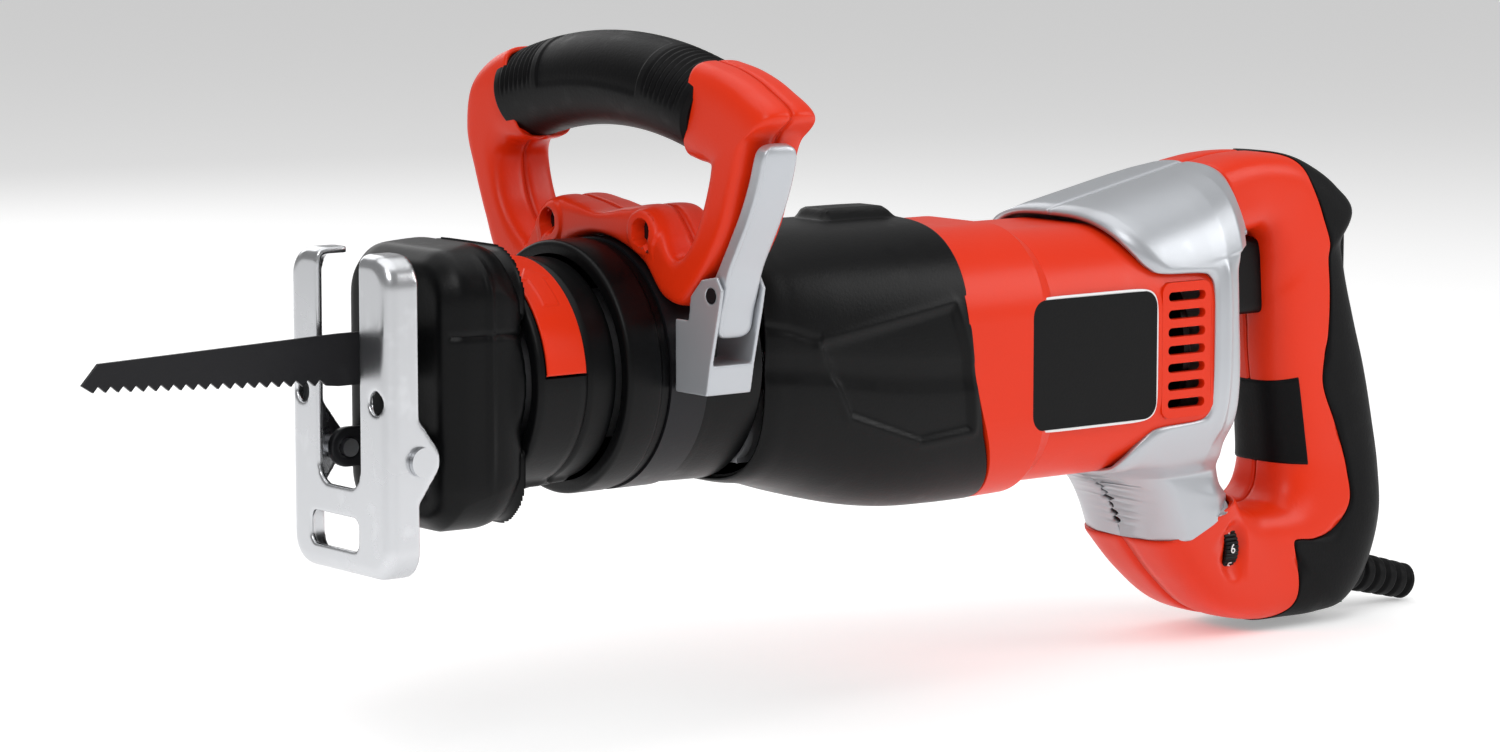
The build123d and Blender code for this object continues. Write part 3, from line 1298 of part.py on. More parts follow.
with BuildPart() as cord_sleeve:
    with BuildSketch(SLEEVE.offset(-6)):
        Circle(SLEEVE_RADIUS + 1.5)
    extrude(amount=2)
    with BuildSketch(SLEEVE.offset(-6)):
        Circle(SLEEVE_RADIUS)
    extrude(amount=SLEEVE_LENGTH + 6, taper=1)
    for step in range(4):
        with BuildSketch(SLEEVE.offset(SLEEVE_LENGTH - 5 - 5 * step)):
            Circle(SLEEVE_RADIUS + 2)
            Circle(SLEEVE_RADIUS - 1.8, mode=Mode.SUBTRACT)
        extrude(amount=1.5, mode=Mode.SUBTRACT)
    with BuildSketch(SLEEVE.offset(-7)):
        Circle(CORD_RADIUS)
    extrude(amount=SLEEVE_LENGTH + 8, mode=Mode.SUBTRACT)
cord_sleeve.part.label = "cord_sleeve"
pieces.append(cord_sleeve)

os.makedirs("parts", exist_ok=True)
for piece in pieces:
    export_step(piece.part, f"parts/{piece.part.label}.step")
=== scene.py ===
"""Looks of a reciprocating saw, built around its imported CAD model."""

import json
import logging
import math
from dataclasses import dataclass, field
from enum import Enum
from typing import Callable

import bmesh
import bpy
import numpy as np
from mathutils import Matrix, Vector


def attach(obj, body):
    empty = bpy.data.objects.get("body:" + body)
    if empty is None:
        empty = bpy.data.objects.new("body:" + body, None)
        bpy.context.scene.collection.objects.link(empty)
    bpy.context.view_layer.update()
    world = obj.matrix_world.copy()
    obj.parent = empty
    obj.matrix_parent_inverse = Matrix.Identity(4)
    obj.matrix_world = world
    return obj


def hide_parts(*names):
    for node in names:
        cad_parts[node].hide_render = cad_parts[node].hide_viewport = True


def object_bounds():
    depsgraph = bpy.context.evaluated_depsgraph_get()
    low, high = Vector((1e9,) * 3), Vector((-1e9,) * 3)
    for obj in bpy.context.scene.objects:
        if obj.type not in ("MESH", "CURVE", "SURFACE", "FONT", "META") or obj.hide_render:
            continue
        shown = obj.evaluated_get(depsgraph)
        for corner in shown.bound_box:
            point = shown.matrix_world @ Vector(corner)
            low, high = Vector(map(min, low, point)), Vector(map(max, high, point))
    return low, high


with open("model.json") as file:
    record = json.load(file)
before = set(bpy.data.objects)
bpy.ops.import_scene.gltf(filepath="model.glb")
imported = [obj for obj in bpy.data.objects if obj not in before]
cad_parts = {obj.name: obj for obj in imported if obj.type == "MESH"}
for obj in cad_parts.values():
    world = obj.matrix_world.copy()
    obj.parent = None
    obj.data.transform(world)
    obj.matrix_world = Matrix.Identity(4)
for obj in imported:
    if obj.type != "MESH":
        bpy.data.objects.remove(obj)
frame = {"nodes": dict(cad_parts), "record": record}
CAD_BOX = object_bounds()
MM = 0.001
# Heights of the barrel's line and of the nose cover's middle, in mm.
BARREL_Z = -9.0
NOSE_Z = -10.5
LOG = logging.getLogger("saw")
Points = list[tuple[float, float]]
Corners = list[tuple[float, float, float]]


# ---------------------------------------------------------------- shader groups
class Feed(Enum):
    """What a grain pattern is stretched along."""

    EVEN = (1.0, 1.0, 1.0)
    ALONG_X = (0.04, 1.0, 1.0)
    ALONG_Z = (1.0, 1.0, 0.04)


def new_group(name: str, numbers: dict[str, float], outputs: list[str]) -> bpy.types.NodeTree:
    """Starts a shader group.

    Args:
        name: The group's name.
        numbers: Its number inputs and their values.
        outputs: Its number outputs.

    Returns:
        The group, with its input and output nodes.
    """
    group = bpy.data.node_groups.new(name, "ShaderNodeTree")
    group.interface.new_socket("Vector", in_out="INPUT", socket_type="NodeSocketVector")
    for label, value in numbers.items():
        socket = group.interface.new_socket(label, in_out="INPUT", socket_type="NodeSocketFloat")
        socket.default_value = value
    for label in outputs:
        group.interface.new_socket(label, in_out="OUTPUT", socket_type="NodeSocketFloat")
    group.nodes.new("NodeGroupInput")
    group.nodes.new("NodeGroupOutput")
    return group


def ends(group: bpy.types.NodeTree) -> tuple[bpy.types.Node, bpy.types.Node]:
    """Gives a group's input node and output node."""
    return group.nodes["Group Input"], group.nodes["Group Output"]


def link(tree: bpy.types.NodeTree, source: object, target: object) -> None:
    """Joins two sockets."""
    tree.links.new(source, target)


def fill(node: bpy.types.Node, values: dict[str, object]) -> bpy.types.Node:
    """Sets some of a node's inputs and gives the node back."""
    for label, value in values.items():
        node.inputs[label].default_value = value
    return node


def math_node(tree: bpy.types.NodeTree, kind: str, first: object, second: object) -> object:
    """Adds a Math node.

    Args:
        tree: The node tree.
        kind: The Math node's operation.
        first: A socket or a number.
        second: A socket or a number.

    Returns:
        The node's output socket.
    """
    node = tree.nodes.new("ShaderNodeMath")
    node.operation = kind
    for place, given in enumerate((first, second)):
        if isinstance(given, (int, float)):
            node.inputs[place].default_value = given
        else:
            link(tree, given, node.inputs[place])
    return node.outputs[0]


def grain_group() -> bpy.types.NodeTree:
    """Fine moulded texture: a noise of two sizes, one a third of the other.

    Returns:
        A group that gives Height, about 0 to 1.
    """
    group = new_group("grain", {"Scale": 900.0}, ["Height"])
    given, made = ends(group)
    sizes = []
    for share in (1.0, 3.1):
        noise = fill(group.nodes.new("ShaderNodeTexNoise"), {"Detail": 2.0})
        link(group, given.outputs["Vector"], noise.inputs["Vector"])
        link(group, math_node(group, "MULTIPLY", given.outputs["Scale"], share), noise.inputs["Scale"])
        sizes.append(noise.outputs["Fac"])
    total = math_node(group, "ADD", sizes[0], math_node(group, "MULTIPLY", sizes[1], 0.45))
    link(group, math_node(group, "MULTIPLY", total, 0.69), made.inputs["Height"])
    return group


def handling_group() -> bpy.types.NodeTree:
    """Large soft blotches and a few rubbed specks.

    Returns:
        A group that gives Blotch and Rub, each 0 to 1.
    """
    group = new_group("handling", {"Size": 14.0}, ["Blotch", "Rub"])
    given, made = ends(group)
    broad = fill(group.nodes.new("ShaderNodeTexNoise"), {"Detail": 3.0})
    link(group, given.outputs["Vector"], broad.inputs["Vector"])
    link(group, given.outputs["Size"], broad.inputs["Scale"])
    link(group, broad.outputs["Fac"], made.inputs["Blotch"])
    fine = fill(group.nodes.new("ShaderNodeTexNoise"), {"Detail": 6.0})
    link(group, given.outputs["Vector"], fine.inputs["Vector"])
    link(group, math_node(group, "MULTIPLY", given.outputs["Size"], 9.0), fine.inputs["Scale"])
    ramp = fill(group.nodes.new("ShaderNodeMapRange"), {"From Min": 0.56, "From Max": 0.74})
    link(group, fine.outputs["Fac"], ramp.inputs["Value"])
    link(group, ramp.outputs["Result"], made.inputs["Rub"])
    return group


GRAIN = grain_group()
HANDLING = handling_group()


@dataclass(frozen=True)
class Finish:
    """One finish of the saw.

    Its colour drifts a little over the surface, its roughness follows the same drift and the rubs, and its
    grain is a bump.
    """

    name: str
    slot: str
    colour: tuple[float, float, float]
    drift: float = 0.06
    roughness: float = 0.42
    rub: float = 0.08
    metallic: float = 0.0
    grain_scale: float = 900.0
    grain_depth: float = 0.00006
    coat: float = 0.0
    stretch: Feed = Feed.EVEN
    specular: float = 0.5

    def make(self) -> bpy.types.Material:
        """Builds the material, or gives the one that was built before."""
        known = bpy.data.materials.get("finish_" + self.name)
        if known:
            return known
        material = bpy.data.materials.new("finish_" + self.name)
        material.use_nodes = True
        tree = material.node_tree
        shader = tree.nodes["Principled BSDF"]
        fill(shader, {"Metallic": self.metallic, "Specular IOR Level": self.specular})
        fill(shader, {"Coat Weight": self.coat, "Coat Roughness": 0.18})
        place = tree.nodes.new("ShaderNodeTexCoord")
        mapping = fill(tree.nodes.new("ShaderNodeMapping"), {"Scale": self.stretch.value})
        link(tree, place.outputs["Object"], mapping.inputs["Vector"])
        grain = tree.nodes.new("ShaderNodeGroup")
        grain.node_tree = GRAIN
        grain.inputs["Scale"].default_value = self.grain_scale
        link(tree, mapping.outputs["Vector"], grain.inputs["Vector"])
        handling = tree.nodes.new("ShaderNodeGroup")
        handling.node_tree = HANDLING
        link(tree, place.outputs["Object"], handling.inputs["Vector"])
        colours = tree.nodes.new("ShaderNodeMix")
        colours.data_type = "RGBA"
        colours.inputs[6].default_value = (*[c * (1 - self.drift) for c in self.colour], 1)
        colours.inputs[7].default_value = (*[min(1, c * (1 + self.drift)) for c in self.colour], 1)
        link(tree, handling.outputs["Blotch"], colours.inputs[0])
        link(tree, colours.outputs[2], shader.inputs["Base Color"])
        dull = math_node(tree, "MULTIPLY", handling.outputs["Blotch"], self.rub)
        rough = math_node(tree, "ADD", dull, self.roughness)
        shine = math_node(tree, "MULTIPLY", handling.outputs["Rub"], self.rub)
        link(tree, math_node(tree, "SUBTRACT", rough, shine), shader.inputs["Roughness"])
        bump = fill(tree.nodes.new("ShaderNodeBump"), {"Distance": self.grain_depth, "Strength": 1.0})
        link(tree, grain.outputs["Height"], bump.inputs["Height"])
        link(tree, bump.outputs["Normal"], shader.inputs["Normal"])
        return material


RED = Finish("orange_red", "red_plastic", (0.76, 0.030, 0.003), 0.05, 0.34, 0.06, coat=0.05, specular=0.25)
BLACK = Finish("black_nylon", "black_plastic", (0.002, 0.0021, 0.0024), 0.2, 0.33, 0.08, specular=0.16)
RUBBER = Finish(
    "black_rubber", "black_rubber", (0.002, 0.002, 0.0024), 0.2, 0.44, 0.10, grain_depth=0.0001, specular=0.12
)
SILVER = Finish(
    "silver_lacquer", "silver_paint", (0.50, 0.52, 0.55), 0.05, 0.34, 0.06, 0.55, 2600.0, 0.00003, coat=0.25
)
ZINC = Finish(
    "zinc_plate", "zinc_steel", (0.62, 0.63, 0.65), 0.1, 0.22, 0.1, 1.0, 500.0, 0.00004, stretch=Feed.ALONG_Z
)
OXIDE = Finish(
    "black_oxide", "dark_steel", (0.012, 0.012, 0.014), 0.2, 0.34, 0.10, 0.3, 1200.0, 0.00004, specular=0.3
)
GROUND = Finish("ground_steel", "bearing_steel", (0.55, 0.56, 0.58), 0.08, 0.28, 0.08, 1.0, 700.0, 0.00003)
CAST = Finish("cast_aluminium", "cast_aluminium", (0.50, 0.51, 0.53), 0.10, 0.5, 0.10, 0.9, 500.0, 0.0002)
IRON = Finish(
    "core_iron", "core_iron", (0.20, 0.20, 0.21), 0.15, 0.5, 0.10, 0.8, 600.0, 0.0001, stretch=Feed.ALONG_X
)
COPPER = Finish("enamelled_copper", "copper", (0.55, 0.24, 0.11), 0.12, 0.35, 0.10, 0.9, 900.0, 0.0001)
BRONZE = Finish("sintered_bronze", "bronze", (0.50, 0.34, 0.15), 0.10, 0.45, 0.10, 0.9, 1500.0, 0.00008)
CARBON = Finish("pressed_carbon", "carbon", (0.03, 0.03, 0.03), 0.2, 0.6, 0.10, 0.1, 1500.0, 0.00008)
BOARD = Finish("board_green", "green_board", (0.02, 0.12, 0.05), 0.15, 0.4, 0.10, 0.0, 700.0, 0.00006)
TRIM = Finish("light_trim", "silver_paint", (0.80, 0.80, 0.80), 0.03, 0.35, 0.05)
PLASTICS = (RED, BLACK, RUBBER, SILVER)
METALS = (ZINC, OXIDE, GROUND, CAST, IRON, COPPER, BRONZE)
BY_SLOT = {finish.slot: finish for finish in (*PLASTICS, *METALS, CARBON, BOARD)}


def dress_cad_nodes() -> None:
    """Gives every CAD node the finish of its material slot in the record, and the clamp strap black oxide."""
    for row in frame["record"]["subparts"]:
        finish = BY_SLOT[row["material_slot"]]
        for slot in frame["nodes"][row["node"]].material_slots:
            slot.material = finish.make()
    for slot in frame["nodes"]["clamp_strap"].material_slots:
        slot.material = OXIDE.make()


# ---------------------------------------------------------------- surfaces
def spline(rows: list[tuple[float, ...]], count: int) -> np.ndarray:
    """Smooth curve through rows of numbers.

    Formula: between two rows, a cubic with the rows' own values and slopes at its ends; the slopes are the
    differences of the neighbours, and the way along is the length of the straight runs.

    Args:
        rows: The rows to pass through.
        count: How many rows to give.

    Returns:
        An array of count rows, evenly spaced along the runs.
    """
    table = np.asarray(rows, float)
    runs = np.linalg.norm(np.diff(table, axis=0), axis=1)
    along = np.concatenate(([0.0], np.cumsum(runs)))
    slope = np.gradient(table, along, axis=0)
    at = np.linspace(0, along[-1], count)
    i = np.clip(np.searchsorted(along, at, side="right") - 1, 0, len(along) - 2)
    h = (along[i + 1] - along[i])[:, None]
    s = (at - along[i])[:, None] / h
    start = (2 * s**3 - 3 * s**2 + 1) * table[i] + (s**3 - 2 * s**2 + s) * h * slope[i]
    return start + (3 * s**2 - 2 * s**3) * table[i + 1] + (s**3 - s**2) * h * slope[i + 1]


def smooth(low: float, high: float, value: np.ndarray) -> np.ndarray:
    """Smooth step: 0 before low, 1 after high, and 3t²-2t³ between them."""
    t = np.clip((value - low) / (high - low), 0, 1)
    return t * t * (3 - 2 * t)


def ridge(value: np.ndarray, width: float) -> np.ndarray:
    """Soft ridge: e to the minus square of value over width, so 1 where value is 0."""
    return np.exp(-((value / width) ** 2))


def power(value: np.ndarray, exponent: float | np.ndarray) -> np.ndarray:
    """The value's size to a power, with its sign kept."""
    return np.sign(value) * np.abs(value) ** exponent


def edge_distance(x: np.ndarray, z: np.ndarray, outline: Points) -> np.ndarray:
    """Distance to a closed outline, less than 0 inside it.

    Formula: the least distance to any of the outline's straight sides; the sign comes from how often a ray
    crosses the sides.

    Args:
        x: First coordinates.
        z: Second coordinates.
        outline: The outline's corners.

    Returns:
        The signed distances, in the same unit.
    """
    least = np.full(x.shape, 1e9)
    inside = np.zeros(x.shape, bool)
    for (ax, az), (bx, bz) in zip(outline, outline[1:] + outline[:1]):
        dx, dz = bx - ax, bz - az
        t = np.clip(((x - ax) * dx + (z - az) * dz) / (dx * dx + dz * dz), 0, 1)
        least = np.minimum(least, np.hypot(x - ax - t * dx, z - az - t * dz))
        if az != bz:
            inside ^= ((az > z) != (bz > z)) & (x < ax + (z - az) * dx / dz)
    return np.where(inside, -least, least)


def normals(grid: np.ndarray, inside: np.ndarray) -> np.ndarray:
    """Unit normals of a grid of points, away from the points inside.

    Formula: the cross product of the differences along the grid's two ways, turned to point away from inside.

    Args:
        grid: The points, rows by columns by 3.
        inside: A point inside for each grid point, or one that fits all.

    Returns:
        One unit normal for each point.
    """
    across = np.cross(np.gradient(grid, axis=0), np.gradient(grid, axis=1))
    length = np.linalg.norm(across, axis=2, keepdims=True)
    unit = across / np.maximum(length, 1e-9)
    sign = np.sign(np.sum(unit * (grid - inside)))
    return unit * (sign if sign else 1.0)


def curled(grid: np.ndarray, inside: np.ndarray, depth: float = 0.5) -> np.ndarray:
    """Turns a grid's four edges in a little, so that seams between pieces show.

    Formula: the outermost row or column goes in by depth and the next by a fifth of it, along the normal.

    Args:
        grid: The points, in mm.
        inside: Points inside the piece.
        depth: How far the edge goes in, in mm.

    Returns:
        The new grid.
    """
    way = normals(grid, inside)
    drop = np.zeros(grid.shape[:2])
    for place, share in ((0, 1.0), (-1, 1.0), (1, 0.2), (-2, 0.2)):
        drop[place, :] = np.maximum(drop[place, :], share)
        drop[:, place] = np.maximum(drop[:, place], share)
    return grid - way * (drop * depth)[..., None]


def edged(count: int, rim: float = 0.004) -> np.ndarray:
    """Values from 0 to 1 with two more close to each end."""
    middle = np.linspace(4 * rim, 1 - 4 * rim, count - 6)
    return np.concatenate(([0, rim, 2.2 * rim], middle, [1 - 2.2 * rim, 1 - rim, 1]))


def placed(name: str, data: bpy.types.ID) -> bpy.types.Object:
    """Puts a new object in the scene."""
    made = bpy.data.objects.new(name, data)
    bpy.context.scene.collection.objects.link(made)
    return made


def read_points(mesh: bpy.types.Mesh, kind: str = "co") -> np.ndarray:
    """Gives a mesh's points, or their normals, as rows of three."""
    values = np.empty(len(mesh.vertices) * 3)
    mesh.vertices.foreach_get(kind, values)
    return values.reshape(-1, 3)


def write_points(mesh: bpy.types.Mesh, points: np.ndarray) -> None:
    """Moves a mesh's points."""
    mesh.vertices.foreach_set("co", points.ravel())
    mesh.update()


def merge(mesh: bpy.types.Mesh, distance: float, thin: float = 0.0) -> None:
    """Joins points closer than distance and takes out faces thinner than thin, in metres."""
    shape = bmesh.new()
    shape.from_mesh(mesh)
    bmesh.ops.remove_doubles(shape, verts=shape.verts, dist=distance)
    if thin:
        bmesh.ops.dissolve_degenerate(shape, edges=shape.edges, dist=thin)
    shape.to_mesh(mesh)
    shape.free()


@dataclass
class Piece:
    """A visible piece made of grids of points, in mm in the saw's frame."""

    name: str
    finish: Finish
    body: str
    replaced: tuple[str, ...] = ()
    wall: float = 0.0
    grids: list[np.ndarray] = field(default_factory=list)
    loops: list[tuple[bool, bool]] = field(default_factory=list)
    inner: list[np.ndarray] = field(default_factory=list)

    def add(
        self, grid: np.ndarray, inside: np.ndarray, loop_rows: bool = False, loop_columns: bool = False
    ) -> "Piece":
        """Adds a grid.

        Args:
            grid: Points, rows by columns by 3.
            inside: Points inside it, which tell which way is out.
            loop_rows: Whether the last row joins the first.
            loop_columns: Whether the last column joins the first.

        Returns:
            The piece.
        """
        self.grids.append(grid)
        self.inner.append(np.broadcast_to(inside, grid.shape))
        self.loops.append((loop_rows, loop_columns))
        return self

    def make(self) -> bpy.types.Object:
        """Builds the object, gives it its finish and its wall, and hangs it on its body."""
        points, faces, start = [], [], 0
        for grid, inside, (rows_loop, columns_loop) in zip(self.grids, self.inner, self.loops):
            rows, columns = grid.shape[:2]
            index = start + np.arange(rows * columns).reshape(rows, columns)
            if rows_loop:
                index = np.vstack((index, index[:1]))
            if columns_loop:
                index = np.hstack((index, index[:, :1]))
            quads = np.stack((index[:-1, :-1], index[1:, :-1], index[1:, 1:], index[:-1, 1:]), -1)
            quads = quads.reshape(-1, 4)
            across = np.cross(np.gradient(grid, axis=0), np.gradient(grid, axis=1))
            if np.sum(across * (grid - inside)) < 0:
                quads = quads[:, ::-1]
            points.append(grid.reshape(-1, 3))
            faces.append(quads)
            start += rows * columns
        mesh = bpy.data.meshes.new(self.name)
        mesh.from_pydata((np.vstack(points) * MM).tolist(), [], np.vstack(faces).tolist())
        merge(mesh, 2e-6, 1e-6)
        return finish_object(self.name, mesh, self.finish, self.body, self.replaced, self.wall)


def finish_object(
    name: str,
    mesh: bpy.types.Mesh,
    finish: Finish,
    body: str,
    replaced: tuple[str, ...],
    wall: float = 0.0,
    sharp: float = 40.0,
) -> bpy.types.Object:
    """Turns a mesh into a piece of the saw.

    Args:
        name: The piece's name.
        mesh: Its mesh, in metres.
        finish: Its finish.
        body: The CAD body that it rides on.
        replaced: The CAD nodes that it stands for.
        wall: Wall thickness in mm, or 0 for a closed mesh.
        sharp: Edges that turn by more degrees than this stay crisp.

    Returns:
        The object.
    """
    mesh.polygons.foreach_set("use_smooth", np.ones(len(mesh.polygons), bool))
    mesh.set_sharp_from_angle(angle=math.radians(sharp))
    mesh.materials.clear()
    mesh.materials.append(finish.make())
    made = placed(name, mesh)
    if wall:
        shell = made.modifiers.new("wall", "SOLIDIFY")
        shell.thickness = wall * MM
        shell.offset = -1
    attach(made, body)
    if replaced:
        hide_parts(*replaced)
    LOG.info("%s: %d faces", name, len(mesh.polygons))
    return made


def softened(
    name: str,
    node: str,
    finish: Finish,
    body: str,
    voxel: float,
    rounds: int,
    detail: Callable[[np.ndarray, np.ndarray], np.ndarray] | None = None,
) -> bpy.types.Object:
    """A moulded look for a CAD node: its copy with rounded edges.

    Formula: the copy is rebuilt from even cubes, and then each point moves halfway to the mean of its
    neighbours, a few times.

    Args:
        name: The piece's name.
        node: The CAD node.
        finish: The finish.
        body: The CAD body.
        voxel: The cubes' size in mm.
        rounds: How many times the points move.
        detail: Given the points and their normals in mm, it gives where the points go.

    Returns:
        The object.
    """
    mesh = frame["nodes"][node].data.copy()
    merge(mesh, 1e-6)
    rough = placed("rough_" + name, mesh)
    remesh = rough.modifiers.new("even", "REMESH")
    remesh.mode = "VOXEL"
    remesh.voxel_size = voxel * MM
    graph = bpy.context.evaluated_depsgraph_get()
    even = bpy.data.meshes.new_from_object(rough.evaluated_get(graph))
    bpy.data.objects.remove(rough)
    even.name = name
    places = read_points(even)
    count = len(places)
    ends_of = np.empty(len(even.edges) * 2, int)
    even.edges.foreach_get("vertices", ends_of)
    one, two = ends_of.reshape(-1, 2).T
    degree = np.bincount(np.concatenate((one, two)), minlength=count)[:, None]
    for _ in range(rounds):
        sums = [np.bincount(one, way[two], count) + np.bincount(two, way[one], count) for way in places.T]
        places = 0.5 * places + 0.5 * np.stack(sums, 1) / degree
    write_points(even, places)
    if detail:
        write_points(even, detail(places / MM, read_points(even, "normal")) * MM)
    return finish_object(name, even, finish, body, (node,), sharp=60)


def ring_strip(
    stations: np.ndarray, low: np.ndarray, high: np.ndarray, count: int
) -> tuple[np.ndarray, np.ndarray]:
    """Part of a band that runs round an opening.

    Formula: at each station a rounded section lies between an outer and an inner point. With c and s the
    cosine and sine of the way round it, each to the station's roundness as a power with its sign kept, the
    point is the middle of the two plus half their difference times c, and it stands off to the side by the
    half width times s.

    Args:
        stations: Rows of outer point, inner point, half width and roundness.
        low: Where each section starts, as an angle.
        high: Where it ends.
        count: Points across.

    Returns:
        The grid as (along, across, [first, second, side]) and the section middles in the same form.
    """
    outer, inner = stations[:, 0:2], stations[:, 2:4]
    half, bend = stations[:, 4:5], stations[:, 5:6]
    turn = low[:, None] + (high - low)[:, None] * edged(count)[None, :]
    c = power(np.cos(turn), bend)
    s = power(np.sin(turn), bend)
    middle = (outer + inner) / 2
    flat = middle[:, None, :] + (outer - inner)[:, None, :] / 2 * c[..., None]
    grid = np.concatenate((flat, (half * s)[..., None]), 2)
    centre = np.concatenate((middle, np.zeros((len(middle), 1))), 1)[:, None, :]
    return grid, np.broadcast_to(centre, grid.shape)


# ---------------------------------------------------------------- rear handle
@dataclass
class RearHandle:
    """The D-shaped rear handle: red shells, black overmould and pad, silver yoke.

    Each station of the band is: outer x and z, inner x and z, half width, roundness, and the share of black
    from the outer side. Each line of the yoke is: front x and z, rear x and z, and 1 where the rear turns in.
    """

    band: tuple[tuple[float, ...], ...] = (
        (-370, 45.3, -384, 18.3, 21, 0.52, 0.0),
        (-385, 47.6, -390, 18.4, 20, 0.54, 0.0),
        (-400, 47.9, -396, 19.0, 19, 0.56, 0.0),
        (-413, 46.6, -400, 17.0, 18.5, 0.58, 0.04),
        (-427, 41.8, -402, 10.0, 18, 0.60, 0.24),
        (-440, 34.0, -402.5, 2.0, 17.8, 0.60, 0.36),
        (-448.5, 25.5, -402.8, -4.0, 17.6, 0.60, 0.40),
        (-442.5, 15.0, -403.2, -10.0, 17.5, 0.62, 0.32),
        (-444.5, 4.0, -403.8, -17.0, 17.5, 0.64, 0.34),
        (-450.5, -16.0, -404.5, -28.0, 17.5, 0.66, 0.44),
        (-457.0, -36.0, -406.5, -42.0, 17.5, 0.66, 0.58),
        (-461.5, -56.0, -408.5, -58.0, 17.8, 0.64, 0.50),
        (-464.5, -76.0, -409.5, -71.0, 18.5, 0.60, 0.44),
        (-464.0, -92.0, -408, -79.0, 20, 0.56, 0.42),
        (-459, -106.0, -404, -83.4, 21.5, 0.53, 0.50),
        (-451, -118.0, -399, -84.4, 22.5, 0.48, 0.60),
        (-441, -125.6, -394, -84.5, 23, 0.45, 0.68),
        (-428, -127.8, -389.5, -84.2, 23, 0.44, 0.44),
        (-410, -127.9, -386.5, -83.2, 23.2, 0.43, 0.10),
        (-393, -127.2, -384, -82.0, 24, 0.43, 0.0),
        (-373, -121.8, -382, -80.6, 25, 0.43, 0.0),
        (-356, -108.6, -380.5, -79.0, 26.4, 0.43, 0.0),
        (-341.5, -92.6, -379, -77.3, 27.4, 0.43, 0.0),
    )
    yoke_lines: tuple[tuple[float, ...], ...] = (
        (-304, 31.6, -370, 45.4, 0),
        (-304.2, 30.6, -371, 43.6, 0),
        (-305, 28, -374, 38, 0),
        (-308, 22, -379, 28.5, 0),
        (-313, 14.5, -383.5, 19.8, 0),
        (-319, 10.2, -383.8, 18.8, 0),
        (-342.5, 9.6, -374, 17.8, 1),
        (-345.6, 6, -367.4, 11, 1),
        (-345.6, -8, -367.8, -8, 1),
        (-345.6, -23, -369.6, -23, 1),
        (-345.6, -40.5, -372.4, -43, 1),
        (-342.5, -44.4, -373, -50, 1),
        (-319, -45.4, -374.6, -57.5, 1),
        (-312.5, -52, -376, -63, 1),
        (-306.5, -60.6, -377, -67, 1),
        (-309, -64.2, -377.9, -70.5, 1),
        (-320, -66.6, -378.8, -74, 1),
        (-328.5, -70.5, -379.8, -78, 0.5),
        (-334, -76.5, -371, -82, 0),
        (-338, -84, -361, -86.8, 0),
        (-341, -92, -351, -91, 0),
    )
    along: int = 360
    across: int = 64
    share_weight: float = 40.0
    recess_half: tuple[float, float] = (8.5, 12.5)
    recess_depth: float = 3.2
    pad_span: tuple[float, float] = (-70.0, -38.0)
    pad_share: float = 0.80
    yoke_low: float = -67.2
    arm_half: float = 27.5
    arm_rounding: float = 11.0
    crease_x: float = -352.0
    dial_middle: tuple[float, float, float] = (-375.0, 14.8, -97.0)
    dial_radius: float = 9.9
    dial_half: float = 3.4
    dial_notches: int = 40
    number_step: float = 42.0
    sleeve_root: tuple[float, float, float] = (-450.0, 0.0, -114.5)
    sleeve_way: tuple[float, float, float] = (-0.970296, 0.0, -0.241922)

    def stations(self) -> tuple[np.ndarray, np.ndarray]:
        """Gives the band's smooth stations and the angle where black ends at each."""
        rows = spline([tuple(row[:6]) + (row[6] * self.share_weight,) for row in self.band], self.along)
        share = np.clip(rows[:, 6] / self.share_weight, 0, 0.98)
        return rows, self.black_angle(share, rows)

    @staticmethod
    def black_angle(share: np.ndarray | float, rows: np.ndarray) -> np.ndarray:
        """The angle round each section at which a share of its depth from the outer side is covered."""
        return np.arccos(np.clip(power(1 - 2 * share, 1 / rows[:, 5]), -1, 1))

    @staticmethod
    def place(grid: np.ndarray) -> np.ndarray:
        """Puts (x, z, side) in the order x, y, z."""
        return grid[..., [0, 2, 1]]

    def shells(self) -> None:
        """Builds the two red shells, with the dial's recess on one side."""
        rows, angle = self.stations()
        for side, name in ((1, "handle_left"), (-1, "handle_right")):
            grid, centre = ring_strip(rows, angle, np.full(self.along, math.pi), self.across)
            grid[..., 2] = np.maximum(grid[..., 2], 0.12)
            grid, centre = self.place(grid), self.place(centre)
            grid = curled(grid, centre, 0.7)
            if side > 0:
                (x, _, z), (wide, tall) = self.dial_middle, self.recess_half
                away = np.hypot((grid[..., 0] - x) / wide, (grid[..., 2] - z) / tall)
                grid[..., 1] -= self.recess_depth * (1 - smooth(0.55, 1.0, away)) * (grid[..., 1] > 12)
            grid[..., 1] *= side
            Piece(name, RED, "saw_body", (name,), 2.4).add(grid, centre).make()

    def overmould(self) -> None:
        """Builds the black spine and heel."""
        rows, angle = self.stations()
        keep = angle > 0.12
        rows, angle = rows[keep], angle[keep]
        grid, centre = ring_strip(rows, -angle, angle, 2 * self.across)
        grid, centre = self.place(grid), self.place(centre)
        grid = curled(grid + normals(grid, centre) * 0.35, centre, 0.9)
        Piece("rear_overmould", RUBBER, "saw_body", ("rear_overmould",), 2.2).add(grid, centre).make()

    def pad(self) -> None:
        """Builds the rubber pad at the front of the grip."""
        rows, _ = self.stations()
        level, (low, high) = rows[:, 3], self.pad_span
        rows = rows[(level < high) & (level > low) & (rows[:, 0] < -450)]
        angle = self.black_angle(self.pad_share, rows)
        grid, centre = ring_strip(rows, angle, 2 * math.pi - angle, 60)
        grid, centre = self.place(grid), self.place(centre)
        grid = curled(grid + normals(grid, centre) * 0.7, centre, 1.0)
        Piece("grip_pad", RUBBER, "saw_body", ("grip_pad",), 2.0).add(grid, centre).make()

